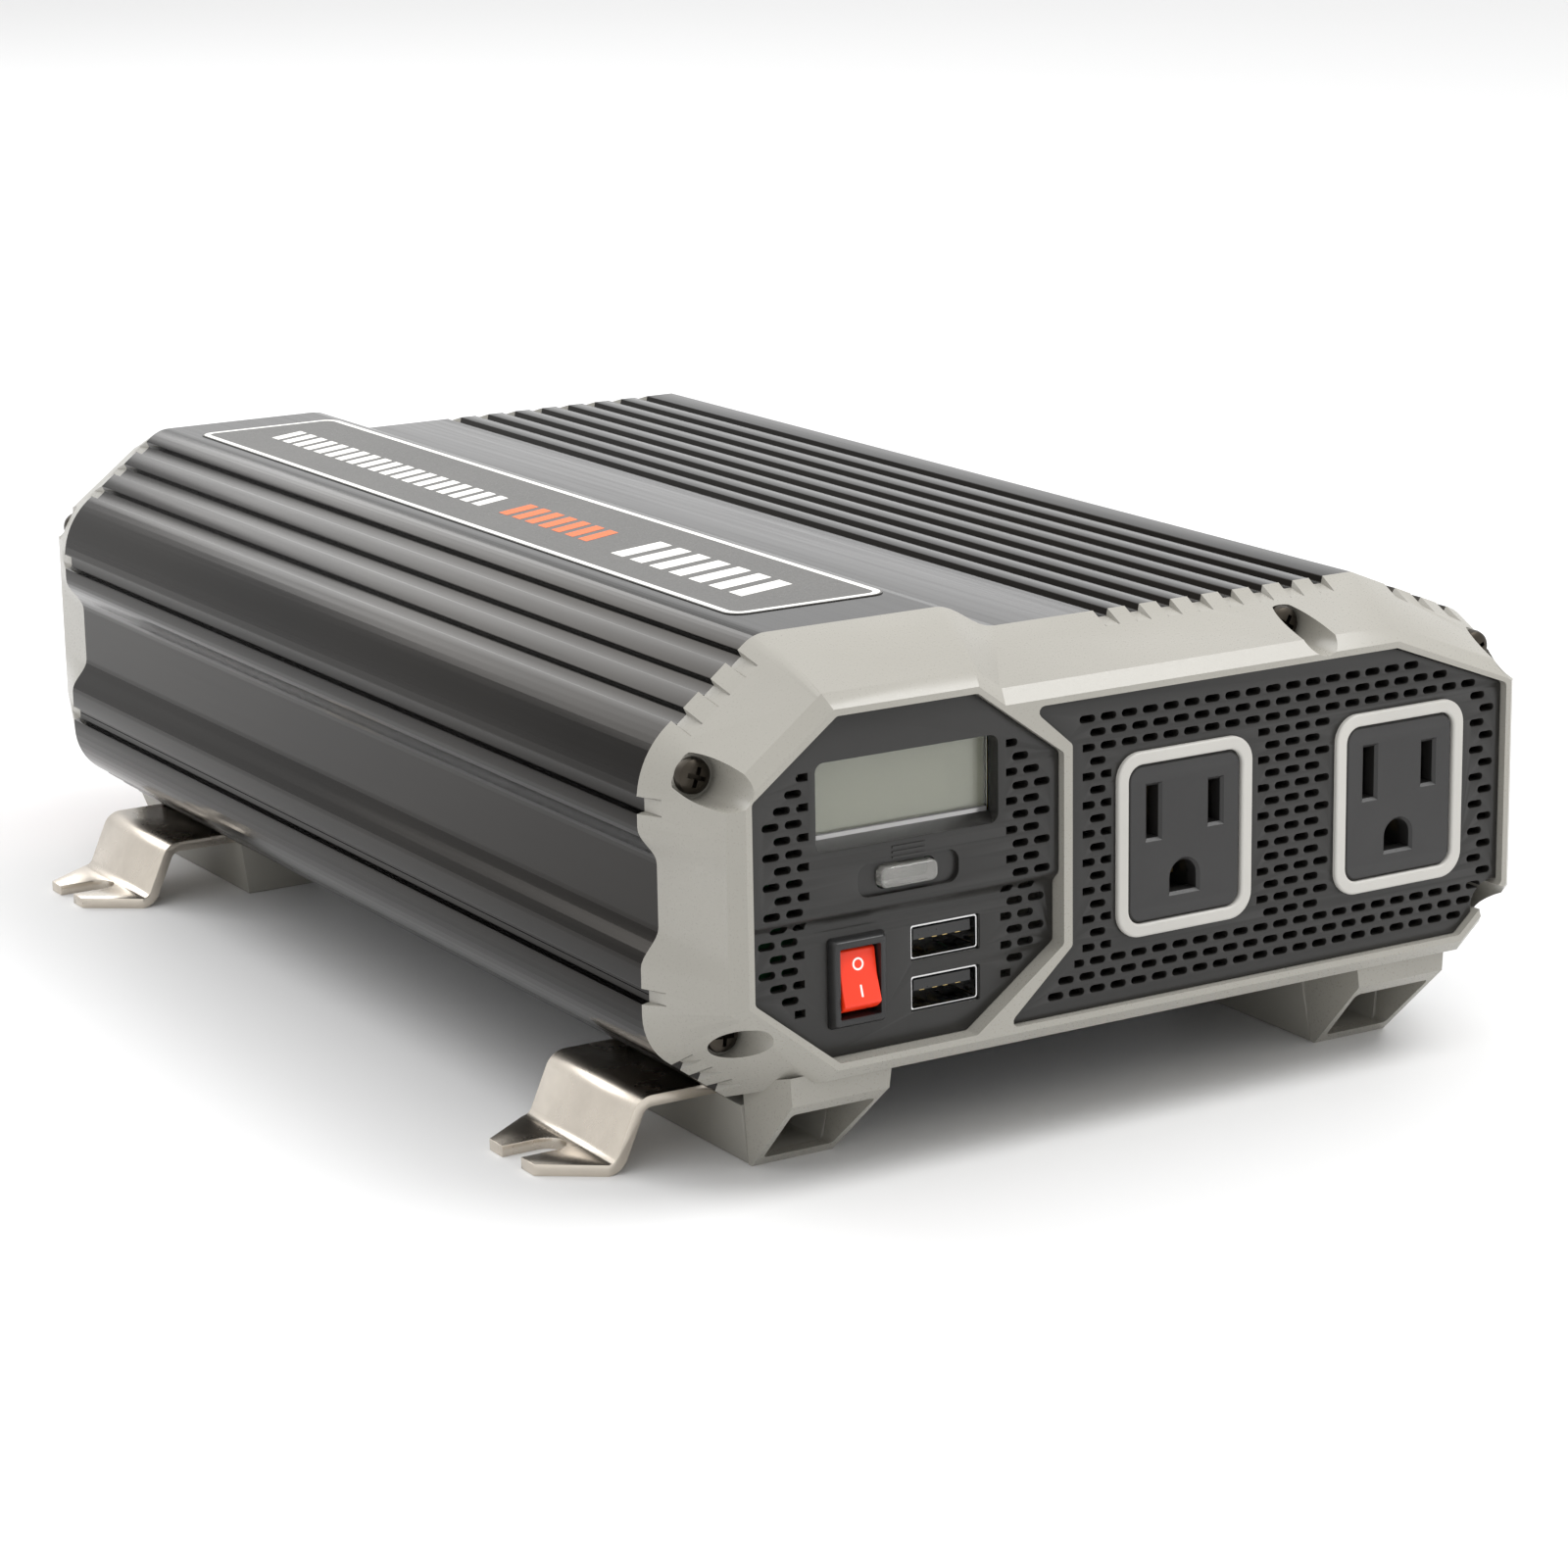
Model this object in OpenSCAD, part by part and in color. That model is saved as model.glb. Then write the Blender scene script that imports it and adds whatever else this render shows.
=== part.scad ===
/* [Case] */
// Width of the case across its sides
body_w = 170.6; // [168:0.1:174]
// Height of the case, from its underside to the raised label strip
body_h = 76.4; // [75.6:0.1:78]
// Length of the two extruded shells
core_l = 236; // [220:1:280]
// Depth of each end cap
cap_l = 20; // [20:0.5:22]
// Height of the case's underside above the floor
foot_h = 12.5; // [12.5:0.1:16]

/* [Ribs] */
// Distance from one top rib to the next
rib_pitch = 6.5; // [6:0.1:6.6]
// Number of grooves in the top
top_grooves = 8; // [4:1:8]
// Depth of the grooves in the shells
groove_d = 1.25; // [0.8:0.05:1.4]

/* [Front] */
// Depth from the front rim to the panels
panel_d = 1.4; // [1:0.1:2]
// Distance between the two outlets
outlet_pitch = 45.45; // [44:0.05:46]
// Distance from one vent slot to the next along a row
vent_pitch = 4.22; // [4:0.02:4.3]
// Distance from one row of vent slots to the next
vent_rise = 2.43; // [2.4:0.01:2.5]
// Width of each vent slot
vent_w = 3.1; // [2.6:0.1:3.2]
// Height of each vent slot
vent_h = 1.25; // [1:0.05:1.4]

/* [Brackets] */
// Width of each bracket
bracket_w = 30; // [24:1:32]
// Thickness of the bracket steel
bracket_t = 2; // [1.5:0.1:2]
// Width of the open slot in each bracket
slot_w = 6.6; // [5:0.1:7]

/* [Battery posts] */
// Distance between the two battery posts
post_pitch = 26; // [24:1:28]
// Radius of the studs
stud_r = 4; // [3:0.5:4]

/* [Hidden] */

hw = body_w / 2;
hh = body_h / 2;
mid_z = foot_h + hh;
front = -core_l / 2 - cap_l;
rear = -front;
seam = -core_l / 2;
low_top = hh - 4.6;
split_z = -18.4;
inner_x = hw - 6.1;

// Rim round the two windows of a cap, anticlockwise from the top of its step
rim = [[-33.4, 29.3], [-60.8, 29.3], [-77.1, 16.9], [-77.1, -17], [-60.9, -30],
    [67.6, -30], [77.4, -21.3], [77.4, 15.5], [52.3, 25.5], [-28.3, 25.5]];
bevel = 2.3;
ramp_l = 5;
octagon = [[-33.6, 28.2], [-60.2, 28.2], [-76, 16.3], [-76, -16.6], [-60.3, -28.9],
    [-34, -28.9], [-16.9, -16.4], [-16.9, 16.1]];
window = [[52, 24.4], [-23.4, 24.4], [-15.2, 17.2], [-15.2, -16.9], [-28.6, -28.9],
    [67, -28.9], [76.3, -20.7], [76.3, 15.1]];
window_t = 4.5;
flange_t = 1.5;
plate_back = window_t + 0.5 + flange_t;
board_d = 14.4;

// Cap screws: across, up, radius of the open channel, radius of the boss in the shell
screws = [[-79.2, 18.7, 3.8, 4.4], [79.2, 18.7, 3.8, 4.4], [-75, -24.7, 3.5, 4.8], [75, -24.7, 3.5, 4.8],
    [37, 28.4, 3.4, 3.9]];
seat_d = 13.5;
screw_r = 1.6;

// Outlets, measured from the middle of the case
outlet_x = [8.2, 8.2 + outlet_pitch];
outlet_z = 3.05;
ring_z = outlet_z - 5.2;
ring_size = [27.6, 31.7];
ring_w = 2.2;
blade_gap = 12.7;
ground_drop = 11.89;

// Control panel
panel_x = -46.1;
low_d = 3.2;
lcd = [[-63.5, 7.4], [-28.9, 20.6]];
button_c = [-46.2, 0.1];
button_size = [10.8, 3.5];
rocker_c = [-55.3, -16.5];
usb_c = [[-38.05, -12.4], [-38.05, -21]];
usb_size = [13.1, 5.8];

// Inside
floor_z = foot_h + 3;
board_z = floor_z + 6.5;
board_t = 1.6;
board_top = board_z + board_t;
standoffs = [for (x = [-66, 66]) for (y = [-100, 0, 90]) [x, y]];
transformer_x = [-24, 24];
transformer_y = -30;
choke_c = [45, -85];
board_half_w = 70.4;
transistor_lead_x = 10;

// Feet and brackets
foot_x = [-67.3, -48];
foot_l = 40;
bracket_y = seam + 22.6;
foot_holes = [seam + 14, seam + 31];

// Battery posts and fans
post_x = [panel_x - post_pitch / 2, panel_x + post_pitch / 2];
post_z = 2;
base_t = 5;
play = 0.3;
washer_t = 1.5;
knob_l = 14;
fan_x = [7, 49.5];
fan_z = -4;
fan_size = 40;
fan_t = 20;
fan_back = rear - plate_back;
fan_bolts = [for (x = fan_x) for (i = [-16, 16]) for (j = [-16, 16]) [x + i, fan_z + j]];

function lerp(a, b, t) = a * (1 - t) + b * t;

// Outline moved outwards by e, with sharp corners
function mitre(pts, e) =
    let (n = len(pts))
    [for (i = [0:n - 1])
        let (a = pts[(i + n - 1) % n], b = pts[i], c = pts[(i + 1) % n],
            u = (b - a) / norm(b - a), v = (c - b) / norm(c - b),
            nu = [u.y, -u.x], nv = [v.y, -v.x])
        b + (nu + nv) * e / (1 + nu * nv)];

// The case's outline is a list of [point, station]. The station says which point of the rim it runs to:
// its whole part is a corner of the rim, and its fraction is how far it lies towards the next one.
function bend(c, r, a0, a1, s0, s1, n) =
    [for (i = [0:n]) let (t = i / n, a = lerp(a0, a1, t)) [c + r * [cos(a), sin(a)], lerp(s0, s1, t)]];

// Grooves of width w and depth d in the straight stretch from p to q
function grooves(p, q, s0, s1, at, w, d, g) =
    let (l = norm(q - p), u = (q - p) / l, n = [-u.y, u.x])
    [for (c = at) for (k = [[0, 0, 0], [0, 1, 0.25], [1, 1, -0.25], [1, 0, 0]])
        let (m = c + k[0] * w + k[2] * (1 - g), ms = c + k[0] * w + k[2])
        [p + u * m + n * (d * g * k[1]), s0 + (s1 - s0) * ms / l]];

// S-shaped step from p to q, which leaves and arrives along the axis that isn't eased
function ess(p, q, s0, s1, ease_x, n = 6) =
    [for (i = [0:n])
        let (t = i / n, e = (1 - cos(180 * t)) / 2)
        [[lerp(p.x, q.x, ease_x ? e : t), lerp(p.y, q.y, ease_x ? t : e)], lerp(s0, s1, t)]];

inset = 3.4;
inset_top = [9.6, 3];
inset_low = [-7.5, -13.8];
shoulder_c = [-hw + 15, 13.6];
shoulder_r = 15;
label_c = [-61.1, hh - 6.5];
label_r = 6.5;
turn = 39;
skirt_r = 11;
skirt_z = -21.5;
skirt_turn = 55;
keel_x = hw - 15.1;
right_c = [hw - 9, 16.2];
right_r = 9;
right_turn = 67.5;
right_x = 57.6;
step_x = [-17, -28.6];

// Rim station of a height on the left side, and of one on the right side
function left_s(z) = z > inset_low[1] ? 2 + (rim[2].y - z) / 34.4 : 2.91 + (inset_low[1] - z) * 0.0117;
function right_s(z) = 6 + max(z + 21.3, 0.05) / 36.8;

// Left side from the side groove down to the skirt
function left_side(g) = concat(
    grooves([-hw, 16], [-hw, 0], left_s(16), left_s(0), [1.3], 2.9, 1.4, g),
    ess([-hw, inset_top[0]], [-hw + inset, inset_top[1]], left_s(9.6), left_s(3), true),
    ess([-hw + inset, inset_low[0]], [-hw, inset_low[1]], left_s(-7.5), left_s(-13.75), true),
    grooves([-hw, -14], [-hw, -21], left_s(-14), left_s(-21), [3.1], 2.7, 1.4, g));

function right_side(g) = concat(
    grooves([hw, -21], [hw, -14], right_s(-20.5), right_s(-14), [1.2], 2.7, 1.4, g),
    ess([hw, inset_low[1]], [hw - inset, inset_low[0]], right_s(-13.8), right_s(-7.5), true),
    ess([hw - inset, inset_top[1]], [hw, inset_top[0]], right_s(3), right_s(9.6), true),
    grooves([hw, 0], [hw, 16], right_s(0), right_s(15.4), [11.8], 2.9, 1.4, g));

skirt_end = [hw - skirt_r - skirt_r * cos(180 + skirt_turn), skirt_z + skirt_r * sin(180 + skirt_turn)];
label_end = label_c + label_r * [cos(90 + turn), sin(90 + turn)];
shoulder_top = shoulder_c + shoulder_r * [cos(90 + turn), sin(90 + turn)];
right_end = right_c + right_r * [cos(right_turn), sin(right_turn)];

function outline(g) = concat(
    [[[step_x[1] - 0.6, hh], 0.02]],
    bend(label_c, label_r, 90, 90 + turn, 1, 1.06, 5),
    grooves(label_end, shoulder_top, 1.06, 1.9, [1.3, 7.8, 14.3], 2.9, groove_d, g),
    bend(shoulder_c, shoulder_r, 90 + turn, 174, 1.9, 2, 7),
    left_side(g),
    bend([-hw + skirt_r, skirt_z], skirt_r, 180, 180 + skirt_turn, 3, 3.12, 6),
    grooves([-skirt_end.x, skirt_end.y], [-keel_x, -hh], 3.12, 3.97, [0.6, 4.6, 8.6], 2, groove_d, g),
    [[[-keel_x, -hh], 4], [[keel_x, -hh], 5]],
    grooves([keel_x, -hh], skirt_end, 5.03, 5.9, [2.3, 6.3, 10.3], 2, groove_d, g),
    bend([hw - skirt_r, skirt_z], skirt_r, 360 - skirt_turn, 360, 5.9, 6, 6),
    right_side(g),
    bend(right_c, right_r, 5, right_turn, 6.99, 7.08, 6),
    grooves(right_end, [right_x, low_top], 7.08, 7.98, [0.6, 6.9, 13.2], 2.6, groove_d, g),
    [[[right_x, low_top], 8]],
    grooves([right_x, low_top], [step_x[0], low_top], 8, 8.9,
        [for (i = [0:top_grooves - 1]) 6.2 + rib_pitch * i], 3, groove_d, g),
    ess([step_x[0], low_top], [step_x[1], hh], 9, 10, false));

function rim_point(pts, s) = lerp(pts[floor(s) % 10], pts[(floor(s) + 1) % 10], s - floor(s));

// One ring of a cap at depth d, a share t of the way from the shell's outline to the rim outline pts
function ring(d, t, g, pts) =
    [for (q = outline(g)) let (p = lerp(q[0], rim_point(pts, q[1]), t)) [p.x, front + d, p.y + mid_z]];

// Closed skin over rings of equal length, the rearmost ring first
module loft(rings) {
    n = len(rings[0]);
    m = len(rings);
    sides = [for (j = [0:m - 2]) for (i = [0:n - 1])
        let (a = j * n + i, b = j * n + (i + 1) % n)
        each [[a, a + n, b + n], [a, b + n, b]]];
    back = [for (i = [0:n - 1]) i];
    face = [for (i = [0:n - 1]) m * n - 1 - i];
    polyhedron([for (r = rings) each r], concat([back], sides, [face]));
}

// Draws an outline across the case, from depth d0 to depth d1 behind the front rim
module slab(d0, d1) {
    translate([0, front + d1, mid_z]) rotate([90, 0, 0]) linear_extrude(d1 - d0) children();
}

// Block given by two corners across the case and two depths
module block(lo, hi, d0, d1) {
    translate([lo.x, front + d0, mid_z + lo.y]) cube([hi.x - lo.x, d1 - d0, hi.y - lo.y]);
}

module centred_block(c, size, d0, d1) {
    block(c - size / 2, c + size / 2, d0, d1);
}

// Cylinder along the case, from depth d0 to depth d1
module bar(c, r, d0, d1, sides = 48) {
    translate([c.x, front + d1, mid_z + c.y]) rotate([90, 0, 0]) cylinder(r = r, h = d1 - d0, $fn = sides);
}

// Rounded rectangle outline with its corners as arcs
function corner(c, r, a) = [for (i = [0:5]) c + r * [cos(a + 18 * i), sin(a + 18 * i)]];
function pill(c, size, r) =
    let (x = size.x / 2 - r, z = size.y / 2 - r)
    concat(corner(c + [x, z], r, 0), corner(c + [-x, z], r, 90),
        corner(c + [-x, -z], r, 180), corner(c + [x, -z], r, 270));

// Turns what is drawn at the front end to the rear end
module at_rear() {
    mirror([0, 1, 0]) children();
}

inner = [[-29, hh - 3.2], [-60, hh - 3.2], [-inner_x, 20.5], [-inner_x, -27], [-69.5, -hh + 3],
    [69.5, -hh + 3], [inner_x, -27], [inner_x, 20.5], [56.5, low_top - 3.2], [-21.5, low_top - 3.2]];

module shell_block() {
    difference() {
        union() {
            difference() {
                slab(cap_l, cap_l + core_l) polygon([for (q = outline(1)) q[0]]);
                slab(cap_l - 1, cap_l + core_l + 1) polygon(inner);
            }
            for (s = screws) bar(s, s[3], cap_l, cap_l + core_l);
        }
        for (s = screws) bar(s, screw_r, cap_l - 1, cap_l + core_l + 1);
    }
}

module upper_shell() {
    color([0.2, 0.19, 0.17]) intersection() {
        shell_block();
        block([-100, split_z], [100, 100], 0, 2 * cap_l + core_l);
    }
}

module lower_shell() {
    color([0.2, 0.19, 0.17]) difference() {
        intersection() {
            shell_block();
            block([-100, -100], [100, split_z], 0, 2 * cap_l + core_l);
        }
        for (p = foot_bolts()) translate([p.x, p.y, foot_h - 1]) cylinder(r = 2, h = 6, $fn = 32);
        for (s = standoffs) translate([s.x, s.y, foot_h - 1]) cylinder(r = 1.6, h = 6, $fn = 32);
    }
}

// Screws that hold a foot block, as [x, y]
function foot_bolts() = [for (m = [-1, 1]) for (e = [-1, 1]) for (y = foot_holes)
    [m * (foot_x[0] + foot_x[1]) / 2, e * y]];

// Tapered hollow in a cap, from behind its rim to the shell
module cap_hollow() {
    loft([[for (p = inner) [p.x, front + cap_l + 1, p.y + mid_z]],
        [for (p = rim) [p.x, front + window_t, p.y + mid_z]]]);
}

// Foot nose: a hollow wedge under each cap corner
module foot_nose(m) {
    lo = -hh - foot_h;
    difference() {
        intersection() {
            // Side view, with its slanted open face
            translate([-100, 0, mid_z]) rotate([90, 0, 90]) linear_extrude(200)
                polygon([[front + cap_l, lo], [front + 19, lo], [front + 4.3, -36.3],
                    [front + 4.3, -31.4], [front + cap_l, -hh + 2]]);
            // Front view, narrower at the floor
            slab(0, cap_l) polygon([for (p = [[foot_x[0], -30], [-66, lo], [-50.4, lo], [-47.6, -30]])
                [m * -p.x, p.y]]);
        }
        slab(0, cap_l + 1) polygon([for (p = [[-65.7, -38.4], [-64.9, lo + 1.8], [-51.6, lo + 1.8], [-49.6, -38.4]])
            [m * -p.x, p.y]]);
    }
}

module cap_body() {
    difference() {
        union() {
            difference() {
                loft([ring(cap_l, 0, 1, rim), ring(cap_l - ramp_l, 0.28, 0, mitre(rim, bevel)),
                    ring(bevel, 1, 0, mitre(rim, bevel)), ring(0, 1, 0, rim)]);
                difference() {
                    cap_hollow();
                    for (s = screws) bar(s, s.z + 0.9, 0, cap_l + 2);
                }
            }
            foot_nose(-1);
            foot_nose(1);
        }
        slab(-1, window_t + 0.5) polygon(octagon);
        slab(-1, window_t + 0.5) polygon(window);
        for (s = screws) {
            bar(s, s.z, -1, seat_d);
            bar(s, screw_r + 0.2, seat_d - 1, cap_l + 1);
        }
    }
}

module front_cap() {
    color([0.78, 0.77, 0.73]) cap_body();
}

module rear_cap() {
    color([0.78, 0.77, 0.73]) at_rear() cap_body();
}

// Pan-head screws with a cross recess, seated in the channels
module cap_screw_set() {
    for (s = screws) difference() {
        union() {
            bar(s, 3, seat_d - 2.2, seat_d);
            bar(s, screw_r, seat_d - 0.1, cap_l + 12);
        }
        for (q = [[0.8, 3.4], [3.4, 0.8]]) centred_block([s.x, s.y], q, seat_d - 3, seat_d - 1);
    }
}

module front_cap_screws() {
    color([0.6, 0.6, 0.6]) cap_screw_set();
}

module rear_cap_screws() {
    color([0.6, 0.6, 0.6]) at_rear() cap_screw_set();
}

// Outline of one vent slot from x0 to x1, with a rounded end where it isn't cut off
function vent_end(x, z, s, cut) = cut
    ? [[x, z - s * vent_h / 2], [x, z + s * vent_h / 2]]
    : [for (a = [-90, -45, 0, 45, 90]) [x - s * vent_h / 2, z] + vent_h / 2 * s * [cos(a), sin(a)]];

// One slot of the grid, kept between lo and hi
function vent_slot(c, z, lo, hi) =
    let (a = c - vent_w / 2, b = c + vent_w / 2, x0 = max(a, lo), x1 = min(b, hi))
    x1 - x0 < 1.4 ? [] : [concat(vent_end(x1, z, 1, x1 < b), vent_end(x0, z, -1, x0 > a))];

module vents(paths, d0, d1) {
    for (p = paths) slab(d0, d1) polygon(p);
}

// Stretches of a row at height z that hold slots, beside and between the outlets
function row_spans(z) =
    let (lo = z > 20 ? -12.9 : z > -18.5 ? -12.2 : -13.8 + (z + 20.7) * 1.4,
        hi = z > -18.5 ? min(75, 58 + (20.6 - z) * 2.66) : 72.9 + (z + 20.7) * 0.9,
        keep = ring_size.x / 2 + 0.9)
    abs(z - ring_z) > ring_size.y / 2 + 0.3
        ? [[lo, hi]]
        : [[lo, outlet_x[0] - keep], [outlet_x[0] + keep + 0.8, outlet_x[1] - keep],
            [outlet_x[1] + keep + 0.8, hi]];

function wide_vents() = [for (j = [0:19])
    let (z = 20.6 - vent_rise * j, x0 = -19.74 + (j % 2) * vent_pitch / 2)
    for (s = row_spans(z)) for (k = [0:22]) each vent_slot(x0 + vent_pitch * k, z, s[0], s[1])];

// Rows right of the fans
function gap_vents() = [for (j = [0:13])
    let (z = 11.8 - vent_rise * j)
    each vent_slot(72.2 + (j % 2) * vent_pitch / 2 - 1.2, z, 69.6, 74.9)];

function side_vents() = [for (j = [0:16])
    let (z = 18.8 - vent_rise * j - (j > 9 ? 0.4 : 0), reach = min(27.4, 40.6 - abs(z + 0.6)))
    for (k = [0, 1]) each concat(
        vent_slot(panel_x + 19.45 + vent_pitch * (k + (j % 2) / 2), z, panel_x + 18.8, panel_x + reach),
        vent_slot(panel_x - 19.45 - vent_pitch * (k + (j % 2) / 2), z, panel_x - reach, panel_x - 18.8))];

// Plate that fills a window from behind, with a flange inside the cap
module window_plate(pts) {
    difference() {
        union() {
            slab(panel_d, window_t + 0.6) polygon(mitre(pts, -0.15));
            slab(window_t + 0.6, plate_back) polygon(mitre(pts, 0.6));
        }
        for (s = screws) bar(s, s.z + 1, 0, cap_l);
    }
}

module control_panel() {
    // Three short raised bars mark the menu button
    color([0.17, 0.16, 0.15]) for (i = [0:2])
        centred_block([button_c.x, 4.9 - 0.85 * i], [6.4, 0.4], panel_d - 0.25, panel_d);
    color([0.17, 0.16, 0.15]) difference() {
        window_plate(octagon);
        // Lower half, set back behind a short slope
        translate([-100, 0, mid_z]) rotate([90, 0, 90]) linear_extrude(86)
            polygon([[front - 1, -3.9], [front + panel_d, -3.9], [front + low_d, -6.6],
                [front + low_d, -40], [front - 1, -40]]);
        block(lcd[0], lcd[1], 0, 10);
        // Sloped sill under the display
        translate([lcd[0].x, 0, mid_z]) rotate([90, 0, 90]) linear_extrude(lcd[1].x - lcd[0].x)
            polygon([[front + panel_d - 1, 5.8], [front + panel_d, 6], [front + window_t, 7.4],
                [front + window_t, 8], [front + panel_d - 1, 8]]);
        slab(0, panel_d + 0.9) polygon(pill(button_c, [19.2, 5.5], 1.9));
        slab(0, 10) polygon(pill(button_c, button_size + [0.6, 0.6], 1.4));
        centred_block(rocker_c, [9, 13.6], 0, 10);
        for (c = usb_c) centred_block(c, usb_size + [0.3, 0.3], 0, 10);
        vents(side_vents(), 0, 10);
    }
}

module outlet_panel() {
    color([0.17, 0.16, 0.15]) difference() {
        window_plate(window);
        for (x = outlet_x) slab(0, 10) polygon(pill([x, ring_z], ring_size - [1, 1], 4));
        vents(wide_vents(), 0, 10);
    }
}

// Round guard in front of a fan: rings of slots between four spokes
module fan_guard(x) {
    for (r = [4.5:4.5:18]) difference() {
        bar([x, fan_z], r + 1.5, 0, 10);
        bar([x, fan_z], r - 1.5, -1, 11);
        for (a = [0, 90]) translate([x, 0, mid_z + fan_z]) rotate([0, a + 45, 0])
            translate([-20, front - 2, -0.9]) cube([40, 14, 1.8]);
    }
}

module rear_vent_panel() {
    color([0.17, 0.16, 0.15]) at_rear() difference() {
        window_plate(window);
        for (x = fan_x) fan_guard(x);
        for (p = fan_bolts) bar(p, 2.2, plate_back - 1.5, 10);
        vents(gap_vents(), 0, 10);
    }
}

// Light frames round the outlets, proud of the panel
module outlet_frames() {
    color([0.8, 0.8, 0.77]) for (x = outlet_x) difference() {
        union() {
            slab(panel_d - 0.8, panel_d) polygon(pill([x, ring_z], ring_size, 4.5));
            slab(panel_d, window_t) polygon(pill([x, ring_z], ring_size - [1.3, 1.3], 3.85));
        }
        slab(0, 10) polygon(pill([x, ring_z], ring_size - 2 * [ring_w, ring_w], 2.7));
    }
}

// Blade slots and the round-topped ground hole of an outlet
module outlet_holes(x, d0, d1, grow) {
    centred_block([x - blade_gap / 2, outlet_z], [2.3 + grow, 8.9 + grow], d0, d1);
    centred_block([x + blade_gap / 2, outlet_z], [2.3 + grow, 7.3 + grow], d0, d1);
    bar([x, outlet_z - ground_drop], 2.7 + grow / 2, d0, d1);
    centred_block([x, outlet_z - ground_drop - 1.3 - grow / 4], [5.4 + grow, 2.6 + grow / 2], d0, d1);
}

module outlet_faces() {
    color([0.2, 0.19, 0.18]) for (x = outlet_x) difference() {
        slab(panel_d - 0.5, window_t) polygon(pill([x, ring_z], ring_size - 2 * [ring_w, ring_w] - [0.2, 0.2], 2.6));
        outlet_holes(x, 0, 10, 0);
    }
}

module outlet_bodies() {
    color([0.75, 0.74, 0.7]) for (x = outlet_x) difference() {
        slab(window_t + 0.1, 25) polygon(pill([x, ring_z], ring_size - [5.5, 5.5], 2));
        outlet_holes(x, 0, 22, 1.6);
    }
}

// Spring clips that grip the plug's blades: two leaves joined at the back
module outlet_contacts() {
    // Place, width and height of each clip
    clips = [[[-blade_gap / 2, outlet_z], 3.4, 7], [[blade_gap / 2, outlet_z], 3.4, 6],
        [[0, outlet_z - ground_drop], 5.6, 3]];
    color([0.8, 0.65, 0.3]) for (x = outlet_x) for (c = clips) difference() {
        centred_block([x, 0] + c[0], [c[1], c[2]], 8, 21);
        centred_block([x, 0] + c[0], [c[1] - 1.2, c[2] + 1], 7, 20);
    }
}

module lcd_window() {
    color([0.7, 0.72, 0.7, 0.4]) block(lcd[0] + [0.1, 0.1], lcd[1] - [0.1, 0.1], window_t, window_t + 1);
}

module lcd_module() {
    color([0.6, 0.6, 0.55]) {
        block(lcd[0] + [0.4, 0.4], lcd[1] - [0.4, 0.4], window_t + 1.1, window_t + 2.3);
        block(lcd[0] - [1, 2.5], lcd[1] + [1, 1], window_t + 2.2, window_t + 5);
        for (x = [-58, -34]) bar([x, 14], 1, window_t + 4.9, board_d);
    }
}

module control_board() {
    color([0.1, 0.35, 0.2]) difference() {
        block([-70.3, -24], [-24, 24], board_d, board_d + 1.6);
        centred_block(rocker_c, [9.4, 14], board_d - 1, board_d + 3);
    }
}

// Clear button with a collar behind the panel
module menu_button() {
    color([0.9, 0.9, 0.9, 0.6]) {
        slab(panel_d - 0.6, window_t + 2.4) polygon(pill(button_c, button_size, 1.2));
        slab(window_t + 2.35, window_t + 3.4) polygon(pill(button_c, button_size + [2.4, 1.6], 1.6));
        bar(button_c, 1.4, window_t + 3.3, board_d - 3.2);
    }
}

module menu_switch() {
    color([0.2, 0.2, 0.2]) {
        centred_block(button_c, [6, 6], board_d - 1.6, board_d);
        bar(button_c, 1.6, board_d - 2.1, board_d - 1.5);
    }
}

rocker_d = low_d - 1.6;
rocker_r = 5.5;
rocker_tip = 12;
pivot_d = 5;

// Bezel and case of the switch, open at the front for the rocker
module rocker_housing() {
    color([0.12, 0.12, 0.12]) difference() {
        union() {
            hull() {
                centred_block(rocker_c, [10.7, 15.2], low_d - 0.3, low_d);
                centred_block(rocker_c, [9.4, 13.9], rocker_d, low_d);
            }
            centred_block(rocker_c, [8.8, 13.4], low_d - 0.1, 17);
        }
        centred_block(rocker_c, [7.6, 11.7], 0, 13.5);
        bar_across([rocker_c.x - 6, rocker_c.y], 1.05, pivot_d, 12);
    }
}

// Cylinder across the case at depth d
module bar_across(c, r, d, l) {
    translate([c.x, front + d, mid_z + c.y]) rotate([0, 90, 0]) cylinder(r = r, h = l, $fn = 32);
}

// Rocker with round ends and two faces that meet in a shallow valley, and its pivot pin
module power_rocker() {
    color([0.85, 0.12, 0.08]) {
        translate([rocker_c.x - 3.5, front + pivot_d, mid_z + rocker_c.y]) rotate([-rocker_tip, 0, 0])
            rotate([90, 0, 90]) linear_extrude(7)
            polygon(concat([[-2.9, 0]], arc([0, 0], rocker_r, 232, 290), arc([0, 0], rocker_r, 70, 128)));
        bar_across([rocker_c.x - 4.1, rocker_c.y], 1, pivot_d, 8.2);
    }
}

module rocker_terminals() {
    color([0.8, 0.7, 0.45]) for (z = [-4, 4]) centred_block(rocker_c + [0, z], [4.8, 0.8], 17, 23);
}

// Folded metal shells of the USB ports
module usb_shells() {
    color([0.75, 0.75, 0.76]) for (c = usb_c) difference() {
        centred_block(c, usb_size, low_d + 0.2, board_d);
        centred_block(c, usb_size - [0.7, 0.7], 0, board_d - 0.5);
    }
}

module usb_tongues() {
    color([0.08, 0.08, 0.08]) for (c = usb_c)
        centred_block(c + [0, 1.1], [11, 1.8], low_d + 1.2, board_d - 0.5);
}

module usb_contacts() {
    color([0.85, 0.7, 0.3]) for (c = usb_c) for (x = [-3.5, -1, 1, 3.5])
        centred_block(c + [x, 0.05], [0.9, 0.3], low_d + 1.8, board_d - 0.5);
}

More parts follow.
